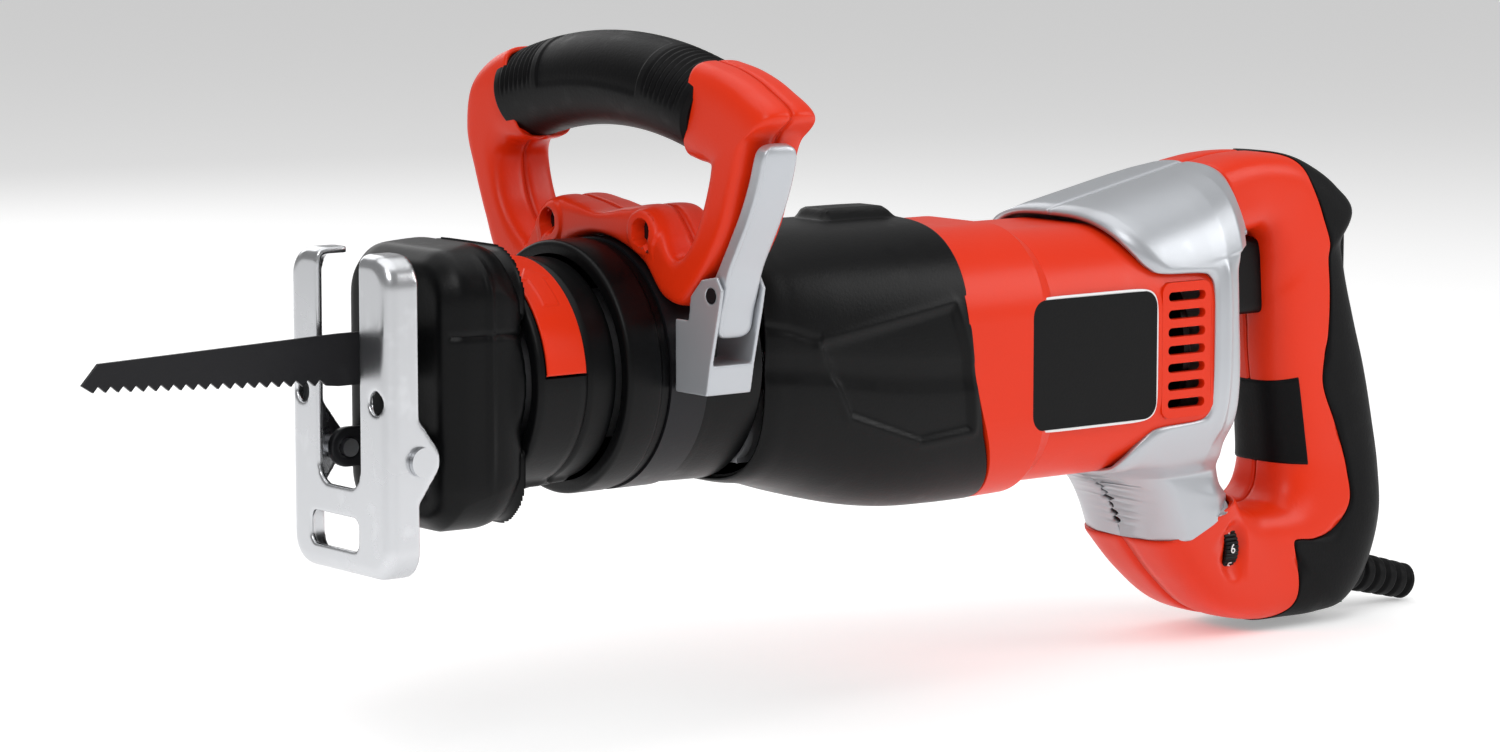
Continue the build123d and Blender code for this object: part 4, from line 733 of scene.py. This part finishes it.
    def yoke_rows(self) -> np.ndarray:
        """Lines across the yoke's side, evenly between those of the table and smoothed from row to row."""
        table = np.array(self.yoke_lines)
        steps = np.concatenate((np.linspace(0, 1, 26) ** 2, np.linspace(1, len(table) - 1, 250)[1:]))
        columns = np.stack([np.interp(steps, np.arange(len(table)), column) for column in table.T], 1)
        for _ in range(14):
            columns[30:-1] = 0.25 * columns[29:-2] + 0.5 * columns[30:-1] + 0.25 * columns[31:]
        return columns

    def yoke_width(self, x: np.ndarray, z: np.ndarray) -> np.ndarray:
        """Half width of the yoke.

        Formula: the larger, softly joined, of two widths. The head is a superellipse of power 3.1 between the
        top line and the motor's underside, narrower towards the back. The arm has a plain width, and its
        front edge is rounded by a superellipse of power 2.2.

        Args:
            x: Places along the saw.
            z: Heights.

        Returns:
            The half widths, in mm.
        """
        top, low = np.interp(x, [-384, -370, -304], [46.5, 45.4, 31.6]), self.yoke_low
        places = [-384, -375, -369, -362, -352, -345, -322, -304]
        half = np.interp(x, places, [21.5, 27, 37, 42.6, 45, 45.3, 45.5, 45.6])
        rise = np.clip(np.abs((z - (top + low) / 2) / ((top - low) / 2)), 0, 1)
        head = half * (1 - rise**3.1) ** (1 / 3.1)
        rows = self.yoke_rows()
        line = rows[rows[:, 1] < -64.5][::5, :2]
        line = np.concatenate((line, [self.yoke_lines[-1][:2]], line[::-1] + np.array([0.1, -0.1])))
        away = edge_distance(x, z, [tuple(point) for point in line])
        front = 1 - np.clip(np.abs(away) / self.arm_rounding, 0, 1)
        rounding = (1 - front**2.2) ** (1 / 2.2)
        arm = self.arm_half * rounding * smooth(-40, -62, z)
        head *= 1 - smooth(-60.5, -64.6, z) * (1 - rounding)
        narrow = 1 - 0.22 * smooth(-362, -380, x) * smooth(-20, -50, z)
        return (head**5 + arm**5) ** 0.2 * narrow

    def yoke(self) -> None:
        """Builds the silver yoke's halves.

        Formula: each line across the side runs straight from the motor housing to the finger opening and
        turns in there to the middle plane along a quarter of a rounded square. A low crease stands beside the
        opening.
        """
        rows = self.yoke_rows()
        way = np.linspace(0, math.pi / 2, 120)[None, :]
        reach = np.sin(way) ** 0.5
        turned_in = 1 - rows[:, 4:5] * (1 - np.cos(way) ** 0.42)
        x = rows[:, 0:1] + (rows[:, 2:3] - rows[:, 0:1]) * reach
        z = rows[:, 1:2] + (rows[:, 3:4] - rows[:, 1:2]) * reach
        y = self.yoke_width(x, z) * turned_in
        y += 0.9 * ridge(x - self.crease_x, 2.2) * smooth(16, 8, z) * smooth(-56, -48, z)
        for side, name in ((1, "yoke_left"), (-1, "yoke_right")):
            grid = np.stack((x, side * (y + 0.1), z), 2)
            centre = np.stack((np.full_like(x, -350), np.zeros_like(x), np.full_like(x, -20)), 2)
            grid = curled(grid, centre, 0.5)
            grid[..., 1] = side * np.maximum(side * grid[..., 1], 0.1)
            Piece(name, SILVER, "saw_body", (name,), 2.0).add(grid, centre).make()

    def dial(self) -> None:
        """Builds the speed dial: a wheel with a notched rim and numbers round it.

        Formula: a closed profile goes round the wheel's axis, and its rim is lower by 0.45 mm at the notches.
        """
        (x, y, z), half, rim = self.dial_middle, self.dial_half, self.dial_radius
        corners = [(-half, 2.2, 0), (-half, rim, 0.9), (half, rim, 0.9), (half, 2.2, 0)]
        profile = np.array(rounded_profile(corners))
        turn = np.linspace(0, 2 * math.pi, 320, endpoint=False)
        notch = 0.45 * (0.5 + 0.5 * np.cos(self.dial_notches * turn)) ** 3
        edge = np.abs(profile[:, :1]) > 2.4
        radius = profile[:, 1:] - np.where((profile[:, 1:] > 8) & edge, notch[None, :], 0)
        along = np.repeat(profile[:, :1], len(turn), 1)
        grid = np.stack((x + along, y + radius * np.cos(turn), z + radius * np.sin(turn)), 2)
        inside = np.stack((x + 0 * turn, y + 6 * np.cos(turn), z + 6 * np.sin(turn)), 1)[None]
        wheel = Piece("speed_dial", BLACK, "dial", ("speed_dial",))
        wheel.add(grid, inside, loop_rows=True, loop_columns=True).make()
        for number in range(1, 8):
            self.number(str(number), math.radians(self.number_step * (number - 6)), rim - 0.04)

    def number(self, text: str, angle: float, radius: float) -> None:
        """Puts one white number on the dial's rim.

        Args:
            text: The number.
            angle: How far round the rim it is, from the side that shows.
            radius: How far from the wheel's axis it starts, in mm.
        """
        curve = bpy.data.curves.new("number_" + text, "FONT")
        curve.body = text
        curve.size = 4.9
        curve.extrude = 0.12
        curve.align_x = "CENTER"
        curve.align_y = "CENTER"
        flat = placed("number_flat_" + text, curve)
        graph = bpy.context.evaluated_depsgraph_get()
        mesh = bpy.data.meshes.new_from_object(flat.evaluated_get(graph))
        bpy.data.objects.remove(flat)
        places = read_points(mesh)
        turn = angle + places[:, 1] / radius
        out = radius + places[:, 2]
        x, y, z = self.dial_middle
        put = np.stack((x - places[:, 0], y + out * np.cos(turn), z + out * np.sin(turn)), 1)
        write_points(mesh, put * MM)
        mesh.name = "dial_number_" + text
        finish_object("dial_number_" + text, mesh, TRIM, "dial", ())

    def boot(self) -> None:
        """Builds the cord sleeve.

        Formula: a closed profile goes round the sleeve's axis; it tapers by 1.2 mm and has a groove every 6.2
        mm.
        """
        root, axis, side = np.array(self.sleeve_root), np.array(self.sleeve_way), np.array([0.0, 1.0, 0.0])
        up = np.cross(axis, side)
        s = np.concatenate(([-5.8], np.linspace(-5.7, 41.2, 240), [41.9, 42.0, -5.8]))
        outer = np.interp(s, [-6, 42], [8.1, 6.9])
        groove = 0.5 - 0.5 * np.cos(2 * math.pi * (s - 4) / 6.2)
        outer = outer - 1.25 * groove**4 * ((s > 4) & (s < 41))
        outer[-4:] = [6.7, 6.2, 4.15, 4.15]
        outer[0] = 4.15
        turn = np.linspace(0, 2 * math.pi, 72, endpoint=False)
        ring = np.cos(turn)[:, None] * side + np.sin(turn)[:, None] * up
        grid = root + s[:, None, None] * axis + outer[:, None, None] * ring[None]
        inside = root + s[:, None, None] * axis + 5.0 * ring[None]
        sleeve = Piece("cord_sleeve", RUBBER, "saw_body", ("cord_sleeve",))
        sleeve.add(grid, inside, loop_columns=True).make()

    def make(self) -> None:
        """Builds the whole handle."""
        self.shells()
        self.overmould()
        self.pad()
        self.yoke()
        self.dial()
        self.boot()
        softened("trigger", "trigger", BLACK, "trigger", 0.7, 30)


# ---------------------------------------------------------------- front handle
@dataclass
class FrontHandle:
    """The hoop round the barrel, its grip, lever and bracket.

    Each station of the band is: outer y and z, inner y and z, half depth, roundness.
    """

    middle: float = -115.0
    band: tuple[tuple[float, ...], ...] = (
        (51, 94.5, 47, 62.5, 12.6, 0.5),
        (64, 92.0, 52, 61.5, 12.8, 0.5),
        (78, 86.5, 56.5, 61.0, 12.8, 0.48),
        (90.0, 78.0, 59.2, 60.0, 12.8, 0.45),
        (82, 71.0, 60, 57.5, 12.8, 0.42),
        (76.5, 57.0, 59, 53.0, 12.8, 0.42),
        (70.5, 41.0, 55.5, 44.0, 12.8, 0.42),
        (61.5, 28.0, 50.5, 35.0, 12.8, 0.42),
        (54, 20.0, 46.0, 31.0, 12.8, 0.42),
        (46, 14.2, 41.0, 30.5, 12.8, 0.42),
        (37.5, 14.6, 36.0, 37.0, 12.8, 0.42),
        (26, 25.5, 26.5, 45.3, 12.8, 0.42),
        (14, 31.4, 14.0, 44.4, 12.8, 0.42),
        (0, 34.2, 0.0, 42.2, 12.8, 0.42),
        (-14, 31.4, -14.0, 44.4, 12.8, 0.42),
        (-26, 25.5, -26.5, 45.3, 12.8, 0.42),
        (-37, 14.6, -35.0, 37.5, 12.8, 0.42),
        (-46, 14.0, -40.0, 29.5, 12.8, 0.42),
        (-60, 22.5, -45.5, 30.5, 12.8, 0.42),
        (-66.5, 36.0, -52.0, 36.5, 12.8, 0.42),
        (-73, 52.0, -57.0, 46.0, 12.8, 0.42),
        (-78.3, 67.0, -58.3, 57.0, 12.8, 0.45),
        (-76.5, 81.0, -54.5, 61.5, 12.8, 0.5),
        (-65, 90.5, -48.0, 62.5, 12.8, 0.5),
        (-54, 94.5, -45.0, 63.5, 12.6, 0.5),
    )
    screws: Points = field(default_factory=lambda: [(26.3, 37.0), (-26.3, 37.0)])
    grip_low: tuple[float, float] = (-55.5, 77.2)
    grip_middle: tuple[float, float] = (-2.0, 86.0)
    grip_high: tuple[float, float] = (52.5, 77.2)
    grip_radius: float = 15.3
    lever_x: float = -111.7
    lever_line: tuple[tuple[float, float], ...] = (
        (61.5, 4.5),
        (63.5, 19),
        (67.5, 28),
        (72.5, 36.5),
        (78, 46),
        (82.5, 56),
        (86.6, 69.5),
    )

    def shells(self) -> None:
        """Builds the hoop's front and rear shells, with the sunk screw holes in front."""
        rows = spline(list(self.band), 520)
        for side, name in ((1, "hoop_front_shell"), (-1, "hoop_rear_shell")):
            zero = np.zeros(len(rows))
            grid, centre = ring_strip(rows, zero, zero + math.pi, 84)
            grid[..., 2] = np.maximum(grid[..., 2], 0.12)
            grid, centre = grid[..., [2, 0, 1]], centre[..., [2, 0, 1]]
            grid = curled(grid, centre, 0.5)
            front = grid[..., 0] > 9
            for y, z in self.screws:
                away = np.hypot(grid[..., 1] - y, grid[..., 2] - z)
                raised = 0.9 * smooth(8.2, 7.0, away) if side > 0 else 0
                hole = (7.0 if side > 0 else 3.0) * smooth(4.6, 3.9, away)
                grid[..., 0] += np.where(front, raised - hole, 0)
            grid[..., 0] = side * grid[..., 0] + self.middle
            centre = centre + np.array([self.middle, 0, 0])
            Piece(name, RED, "front_handle", (name,), 2.2).add(grid, centre).make()

    def arc(self, count: int) -> tuple[np.ndarray, np.ndarray]:
        """The grip's middle line, as points and directions in the (y, z) plane."""
        (ay, az), (by, bz), (cy, cz) = self.grip_low, self.grip_middle, self.grip_high
        first = 2 * np.array([[by - ay, bz - az], [cy - by, cz - bz]])
        second = np.array([by**2 + bz**2 - ay**2 - az**2, cy**2 + cz**2 - by**2 - bz**2])
        centre = np.linalg.solve(first, second)
        radius = math.hypot(ay - centre[0], az - centre[1])
        start = math.atan2(az - centre[1], ay - centre[0])
        stop = math.atan2(cz - centre[1], cy - centre[0])
        turn = np.linspace(start, stop, count)
        points = centre + radius * np.stack((np.cos(turn), np.sin(turn)), 1)
        ways = np.stack((np.sin(turn), -np.cos(turn)), 1)
        return points, ways

    def grip(self) -> None:
        """Builds the rubber sleeve of the grip.

        Formula: a circle carried along an arc. Its radius is fuller in the middle, drops at both ends, and
        has low ribs over the top near each end and a sunk panel with a border between them.
        """
        count, round_count = 400, 128
        points, ways = self.arc(count)
        outward = np.stack((-ways[:, 1], ways[:, 0]), 1)
        share = np.linspace(0, 1, count)[:, None]
        turn = np.linspace(0, 2 * math.pi, round_count, endpoint=False)[None, :]
        up = np.cos(turn)
        radius = self.grip_radius + 0.55 * np.sin(math.pi * share) ** 0.6 + 0 * turn
        place = np.abs(share - 0.5) * 2
        ribs = 0.5 + 0.5 * np.cos((place - 0.60) / 0.30 * 2 * math.pi * 6)
        zone = smooth(0.56, 0.60, place) * smooth(0.93, 0.89, place) * smooth(-0.1, 0.25, up)
        radius = radius - 0.75 * zone * (1 - ribs)
        panel = smooth(0.52, 0.50, place) * smooth(0.98, 0.86, np.abs(np.sin(turn - 0.9)) * 1.35)
        radius = radius - 0.55 * panel * smooth(0.2, 0.4, np.cos(turn - 0.9))
        radius = radius - 1.6 * smooth(0.972, 1.0, place)
        side = np.sin(turn)
        grid = np.stack(
            (
                self.middle + radius * side,
                points[:, :1] + outward[:, :1] * radius * up,
                points[:, 1:] + outward[:, 1:] * radius * up,
            ),
            2,
        )
        centre = np.stack((np.full(count, self.middle), points[:, 0], points[:, 1]), 1)[:, None, :]
        caps = [np.stack((grid[i], np.broadcast_to(centre[i], grid[i].shape)), 0) for i in (0, -1)]
        sleeve = Piece("grip_sleeve", RUBBER, "front_handle", ("grip_sleeve",))
        sleeve.add(grid, centre, loop_columns=True)
        for cap, way in zip(caps, (1, -1)):
            sleeve.add(cap, cap[1:] + np.array([0, 25.0 * way, 0]), loop_columns=True)
        sleeve.make()

    def lever(self) -> None:
        """Builds the clamp lever.

        Formula: a rounded bar section, 15 mm wide and 6 mm thick, carried along a bent line; it swells round
        the pin and thins towards its tip, and its front edge is a raised rim.
        """
        count = 160
        line = spline(list(self.lever_line), count)
        ways = np.gradient(line, axis=0)
        ways /= np.linalg.norm(ways, axis=1, keepdims=True)
        across = np.stack((ways[:, 1], -ways[:, 0]), 1)
        share = np.linspace(0, 1, count)[:, None]
        turn = np.linspace(0, 2 * math.pi, 96, endpoint=False)[None, :]
        thick = (3.0 + 1.4 * ridge(share - 0.22, 0.10)) * np.sqrt(np.clip(1 - (2 * share - 1) ** 16, 0, 1))
        wide = 7.4 * np.clip(1 - (2 * share - 1) ** 24, 0, 1) ** 0.5
        c, s = power(np.cos(turn), 0.5), power(np.sin(turn), 0.4)
        rim = 0.55 * smooth(0.78, 0.9, c) * (s > 0)
        off = thick * s + rim * (thick > 2)
        x = self.lever_x + wide * c
        grid = np.stack((x, line[:, :1] + across[:, :1] * off, line[:, 1:] + across[:, 1:] * off), 2)
        centre = np.stack((np.full(count, self.lever_x), line[:, 0], line[:, 1]), 1)[:, None, :]
        Piece("clamp_lever", SILVER, "lever", ("clamp_lever",)).add(grid, centre, loop_columns=True).make()

    def make(self) -> None:
        """Builds the whole front handle."""
        self.shells()
        self.grip()
        self.lever()
        softened("lever_bracket", "lever_bracket", SILVER, "front_handle", 0.45, 5)


# ---------------------------------------------------------------- head: nose, collar, barrel, gearcase
def turned(profile: Points, count: int) -> tuple[np.ndarray, np.ndarray]:
    """A shape turned round the barrel's line.

    Formula: each point (x, r) of the profile goes round a circle of radius r about the barrel's line.

    Args:
        profile: The closed profile's points.
        count: Points round the circle.

    Returns:
        The grid and its inside points.
    """
    rows = np.asarray(profile + profile[:1], float)
    turn = np.linspace(0, 2 * math.pi, count, endpoint=False)
    x = np.repeat(rows[:, :1], count, 1)
    c, s = np.cos(turn), np.sin(turn)
    grid = np.stack((x, rows[:, 1:] * c, rows[:, 1:] * s + BARREL_Z), 2)
    middle = np.asarray(profile, float).mean(0)
    inside = np.stack((np.full(count, middle[0]), middle[1] * c, middle[1] * s + BARREL_Z), 1)
    return grid, np.broadcast_to(inside[None], grid.shape)


def rounded_profile(corners: Corners, steps: int = 6) -> Points:
    """Rounds the corners of a closed profile.

    Formula: at each corner (x, r, size) the line leaves the straight side size before it and comes back size
    after it, on a parabola with the corner as its middle point.

    Args:
        corners: The corners, each with its rounding.
        steps: Points in each rounding.

    Returns:
        The profile's points.
    """
    made = []
    table = np.asarray(corners, float)
    for i, (x, r, size) in enumerate(table):
        here = np.array([x, r])
        if size <= 0:
            made.append((x, r))
            continue
        before = table[i - 1, :2] - here
        after = table[(i + 1) % len(table), :2] - here
        first = here + before / np.linalg.norm(before) * size
        last = here + after / np.linalg.norm(after) * size
        for t in np.linspace(0, 1, steps):
            point = (1 - t) ** 2 * first + 2 * t * (1 - t) * here + t * t * last
            made.append((float(point[0]), float(point[1])))
    return made


@dataclass
class Head:
    """Everything in front of the motor housing, but for the front handle, and the housing's badge borders.

    A turned piece's corners are: x, radius, rounding. Each section of the gearcase is: x, top, bottom, half
    width.
    """

    collar_corners: Corners = field(
        default_factory=lambda: [
            (-52.6, 33.2, 0),
            (-52.6, 37.9, 2.2),
            (-69, 37.9, 0),
            (-71.5, 37.5, 0),
            (-84.4, 37.0, 2.0),
            (-84.4, 33.2, 0),
        ]
    )
    rib_angles: tuple[float, ...] = (238, 251, 264, 277, 290)
    band_radius: float = 38.1
    arrow: Points = field(
        default_factory=lambda: [
            (-60.5, -9),
            (-60.5, 3),
            (-58.0, 3),
            (-63.5, 9.5),
            (-69.0, 3),
            (-66.5, 3),
            (-66.5, -9),
        ]
    )
    barrel_corners: Corners = field(
        default_factory=lambda: [
            (-85.2, 38.0, 0),
            (-85.2, 42.4, 2.0),
            (-98.5, 42.4, 0.8),
            (-99.0, 41.7, 0.4),
            (-102.1, 41.7, 0.3),
            (-102.1, 40.2, 0.3),
            (-118.0, 40.2, 0.3),
            (-118.0, 41.7, 0.3),
            (-121.5, 41.7, 0.6),
            (-127, 41.9, 0.6),
            (-140.6, 42.2, 1.0),
            (-140.6, 38.0, 0),
        ]
    )
    gearcase_sections: tuple[tuple[float, ...], ...] = (
        (-141.3, 33.2, -51.0, 42.0),
        (-144, 33.9, -52.0, 43.2),
        (-152, 34.0, -53.2, 44.6),
        (-165, 34.0, -56.0, 45.8),
        (-180, 34.0, -60.5, 46.4),
        (-196, 34.0, -64.5, 46.8),
        (-212, 34.0, -66.8, 47.0),
        (-230, 33.6, -67.5, 46.9),
        (-256, 33.0, -67.4, 46.6),
    )
    gearcase_bend: float = 0.66
    side_field: Points = field(
        default_factory=lambda: [
            (-163, -3.5),
            (-221, 5.5),
            (-226, -12),
            (-229, -37),
            (-207, -39),
            (-176, -28),
        ]
    )
    badge_middle: tuple[float, float] = (-287.0, -18.0)
    badge_half: tuple[float, float] = (29.6, 22.6)

    def collar(self) -> None:
        """Builds the release collar with its finger ribs, and the red band with a plain arrow on it.

        Formula: a turned profile. Each rib adds a soft ridge to the radius, a groove takes 0.8 mm away behind
        the band, and the band's seat is sunk by 1.6 mm.
        """
        profile = rounded_profile(self.collar_corners)
        dense: Points = []
        for (ax, ar), (bx, br) in zip(profile, profile[1:]):
            parts = max(1, int(abs(ax - bx) / 1.0))
            dense += [(ax + (bx - ax) * k / parts, ar + (br - ar) * k / parts) for k in range(parts)]
        dense.append(profile[-1])
        grid, inside = turned(dense, 360)
        angle = np.degrees(np.arctan2(grid[..., 2] - BARREL_Z, grid[..., 1])) % 360
        radius = np.hypot(grid[..., 1], grid[..., 2] - BARREL_Z)
        x = grid[..., 0]
        ribs = sum(ridge(angle - middle, 2.6) for middle in self.rib_angles)
        lift = 1.4 * ribs * smooth(-82.5, -79.5, x) * smooth(-54.5, -57.5, x)
        groove = 0.8 * ridge(x + 72.6, 0.5)
        sunk = 1.6 * smooth(3.2, 4.2, angle) * smooth(104.8, 103.8, angle)
        sunk = sunk * smooth(-71.9, -71.3, x) * smooth(-55.1, -55.7, x)
        share = np.where(radius > 35.5, 1 + (lift - groove - sunk) / radius, 1)
        grid[..., 1] *= share
        grid[..., 2] = (grid[..., 2] - BARREL_Z) * share + BARREL_Z
        collar = Piece("release_collar", BLACK, "collar", ("release_collar",))
        collar.add(grid, inside, loop_columns=True).make()
        self.band()

    def band(self) -> None:
        """Builds the band: a patch of a cylinder with turned-in edges and a raised arrow."""
        x = -55.7 - 15.6 * edged(70, 0.012)
        angle = 4.3 + 99.4 * edged(260, 0.003)
        xs, angles = np.meshgrid(x, angle, indexing="ij")
        along = (angles - 54) * math.radians(38.2)
        radius = self.band_radius + 0.35 * smooth(0.35, -0.15, edge_distance(xs, along, self.arrow))
        turn = np.radians(angles)
        grid = np.stack((xs, radius * np.cos(turn), radius * np.sin(turn) + BARREL_Z), 2)
        inside = np.stack((xs, 0 * xs, 0 * xs + BARREL_Z), 2)
        grid = curled(grid, inside, 0.7)
        Piece("collar_band", RED, "collar", ("collar_band",), 1.6).add(grid, inside).make()

    def barrel(self) -> None:
        """Builds the barrel's sleeve: a raised front ring, the strap's groove and a plain rear."""
        grid, inside = turned(rounded_profile(self.barrel_corners), 220)
        sleeve = Piece("barrel_sleeve", BLACK, "saw_body", ("barrel_sleeve",))
        sleeve.add(grid, inside, loop_columns=True).make()

    def gearcase(self) -> None:
        """Builds the gearcase cover.

        Formula: rounded sections along X, a superellipse each, from a round front to the joint with the motor
        housing, which is a curve in side view. A bump stands on top; on both sides a crease line and a sunk
        field turn the surface in or out by about a millimetre.
        """
        rows, columns = 150, 320
        table = spline(list(self.gearcase_sections), 200)
        turn = np.linspace(0, 2 * math.pi, columns, endpoint=False)[None, :]
        share = edged(rows, 0.004)[:, None]
        x = np.full((rows, columns), -200.0)
        table = table[np.argsort(table[:, 0])]
        start, heights = self.gearcase_sections[0][0], [-75, -60, -40, -18, 5, 25, 45]
        for _ in range(4):
            top, low, half = (np.interp(x, table[:, 0], table[:, k]) for k in (1, 2, 3))
            z = (top + low) / 2 + (top - low) / 2 * power(np.sin(turn), self.gearcase_bend)
            stop = np.interp(z, heights, [-253, -244.3, -235.2, -230.2, -228.0, -227.6, -228])
            x = start + (stop - start) * share
        y = half * power(np.cos(turn), self.gearcase_bend)
        grid = np.stack((x, y, z), 2)
        centre = np.stack((x, 0 * x, (top + low) / 2), 2)
        way = normals(grid, centre)
        side = np.abs(way[..., 1]) > 0.35
        reach = edge_distance(x, z, self.side_field)
        move = np.where(side, -1.1 * smooth(1.6, -1.6, reach) + 0.35 * ridge(reach - 1.8, 1.6), 0)
        line = z - np.interp(x, [-222, -161, -150, -142], [6.6, -1.4, 2.5, 4.0])
        move += np.where(side & (x > self.side_field[0][0]), -0.6 * ridge(line, 1.2), 0)
        cap = smooth(9.5, 6.5, np.abs(y)) * smooth(-192.5, -196.5, x) * smooth(-227.5, -221, x) * (z > 20)
        grid = grid + way * move[..., None]
        grid[..., 2] += 3.9 * cap
        grid = curled(grid, centre, 0.6)
        cover = Piece("gearcase_cover", BLACK, "saw_body", ("gearcase_cover",), 2.4)
        cover.add(grid, centre, loop_columns=True).make()

    @staticmethod
    def nose_lines(points: np.ndarray, way: np.ndarray) -> np.ndarray:
        """Shapes the nose cover: a rounder back, a seam along each side and a crest round it.

        Formula: outside the superellipse of power 3.2 in the section's own box, a point goes 0.72 of the way
        back to it. Behind x = -40 the section shrinks by a square law, by a tenth at the back. The seam is a
        groove of 0.75 mm where z is 8; the crest is a ridge of 0.8 mm where x is -38, at both sides.

        Args:
            points: The cover's points, in mm.
            way: Their normals.

        Returns:
            The moved points.
        """
        x, y, z = points.T
        middle = np.array([0, NOSE_Z])
        outer = np.sum(way[:, 1:] * (points[:, 1:] - middle), axis=1) > 0
        shrink = 1 - 0.10 * np.clip((-40 - x) / 12, 0, 1) ** 2 * outer
        seam = ridge(z - 8, 0.75) * (np.abs(y) > 20) * (x < -24)
        crest = ridge(x + 38, 1.1) * (np.abs(y) > 22) * smooth(-48, -30, z) * smooth(36, 26, z)
        across = np.abs(points[:, 1:] - middle)
        reach = np.sum((across / across.max(0)) ** 3.2, axis=1) ** (1 / 3.2)
        scale = (1 - 0.72 * (1 - 1 / np.maximum(reach, 1))) * shrink
        moved = points + way * (outer * (0.8 * crest - 0.75 * seam))[:, None]
        moved[:, 1:] = (moved[:, 1:] - middle) * scale[:, None] + middle
        return moved

    def badge_trim(self) -> None:
        """Frames the black plates at the motor's sides with a light border.

        Formula: a strip between two rounded rectangles, 1.35 mm wide and 0.35 mm higher along its middle.
        """
        turn = np.linspace(0, 2 * math.pi, 240, endpoint=False)
        across = np.linspace(0, 1, 9)[:, None]
        (middle_x, middle_z), (wide, tall) = self.badge_middle, self.badge_half
        x = middle_x + (wide + 1.35 * across) * power(np.cos(turn), 0.24)
        z = middle_z + (tall + 1.35 * across) * power(np.sin(turn), 0.24)
        for side, name in ((1, "plate_border_left"), (-1, "plate_border_right")):
            y = side * (44.15 + 0.35 * np.sin(math.pi * across) + 0 * x)
            grid = np.stack((x, y, z), 2)
            inside = np.stack((x, y - side * 5, z), 2)
            Piece(name, TRIM, "saw_body", (), 0.5).add(grid, inside, loop_columns=True).make()

    def make(self) -> None:
        """Builds the head."""
        self.badge_trim()
        self.collar()
        self.barrel()
        self.gearcase()
        softened("nose_cover", "nose_cover", BLACK, "saw_body", 0.85, 22, self.nose_lines)
        softened("shoe", "shoe", ZINC, "shoe", 0.7, 4)
        softened("shoe_post", "shoe_post", OXIDE, "saw_body", 0.6, 2)


# ---------------------------------------------------------------- studio
@dataclass
class Studio:
    """Pale floor, soft lights and the camera. A lamp is: name, place and side in metres, power in watts."""

    eye: tuple[float, float, float] = (0.7967, 1.2346, 0.1835)
    ahead: tuple[float, float, float] = (-0.611, -0.782, -0.128)
    lens: float = 110.3
    floor_half: float = 6.0
    aim: tuple[float, float, float] = (-0.2, 0.0, -0.02)
    lamps: tuple[tuple[str, tuple[float, float, float], float, float], ...] = (
        ("key_light", (0.9, 1.1, 1.3), 1.0, 12),
        ("side_light", (-1.4, 0.9, 0.7), 0.8, 7),
        ("top_light", (-0.2, -0.1, 1.8), 2.2, 20),
        ("back_light", (-0.4, -1.6, 0.9), 1.2, 7),
    )

    def floor(self) -> None:
        """Lays the floor under the saw's lowest point."""
        low = CAD_BOX[0][2] - 0.0005
        half = self.floor_half
        mesh = bpy.data.meshes.new("studio_floor")
        corners = [(-half, -half, low), (half, -half, low), (half, half, low), (-half, half, low)]
        mesh.from_pydata(corners, [], [(0, 1, 2, 3)])
        floor = placed("studio_floor", mesh)
        material = bpy.data.materials.new("studio_floor")
        material.use_nodes = True
        shader = material.node_tree.nodes["Principled BSDF"]
        fill(shader, {"Base Color": (0.9, 0.9, 0.9, 1), "Roughness": 0.8})
        fill(shader, {"Emission Color": (1, 1, 1, 1), "Emission Strength": 0.32})
        mesh.materials.append(material)

    def lights(self) -> None:
        """Hangs the square soft lights, all turned to the middle of the saw."""
        for name, place, size, watts in self.lamps:
            data = bpy.data.lights.new(name, "AREA")
            data.energy = watts
            data.size = size
            lamp = placed(name, data)
            lamp.location = place
            lamp.rotation_euler = (Vector(self.aim) - Vector(place)).to_track_quat("-Z", "Y").to_euler()

    def camera(self) -> None:
        """Stands the camera."""
        data = bpy.data.cameras.new("camera")
        data.lens = self.lens
        data.sensor_width = 36.0
        data.sensor_fit = "HORIZONTAL"
        data.clip_end = 30
        camera = placed("camera", data)
        camera.location = self.eye
        camera.rotation_euler = Vector(self.ahead).to_track_quat("-Z", "Y").to_euler()
        bpy.context.scene.camera = camera

    def make(self) -> None:
        """Sets up the whole studio."""
        self.floor()
        self.lights()
        world = bpy.data.worlds.new("studio_world")
        world.use_nodes = True
        fill(world.node_tree.nodes["Background"], {"Color": (1, 1, 1, 1), "Strength": 0.3})
        bpy.context.scene.world = world
        bpy.context.scene.view_settings.view_transform = "Standard"
        self.camera()


def main() -> None:
    """Dresses the CAD nodes, builds the pieces and sets up the studio."""
    logging.basicConfig(level=logging.INFO)
    dress_cad_nodes()
    Head().make()
    FrontHandle().make()
    RearHandle().make()
    Studio().make()


if __name__ == "__main__":
    main()
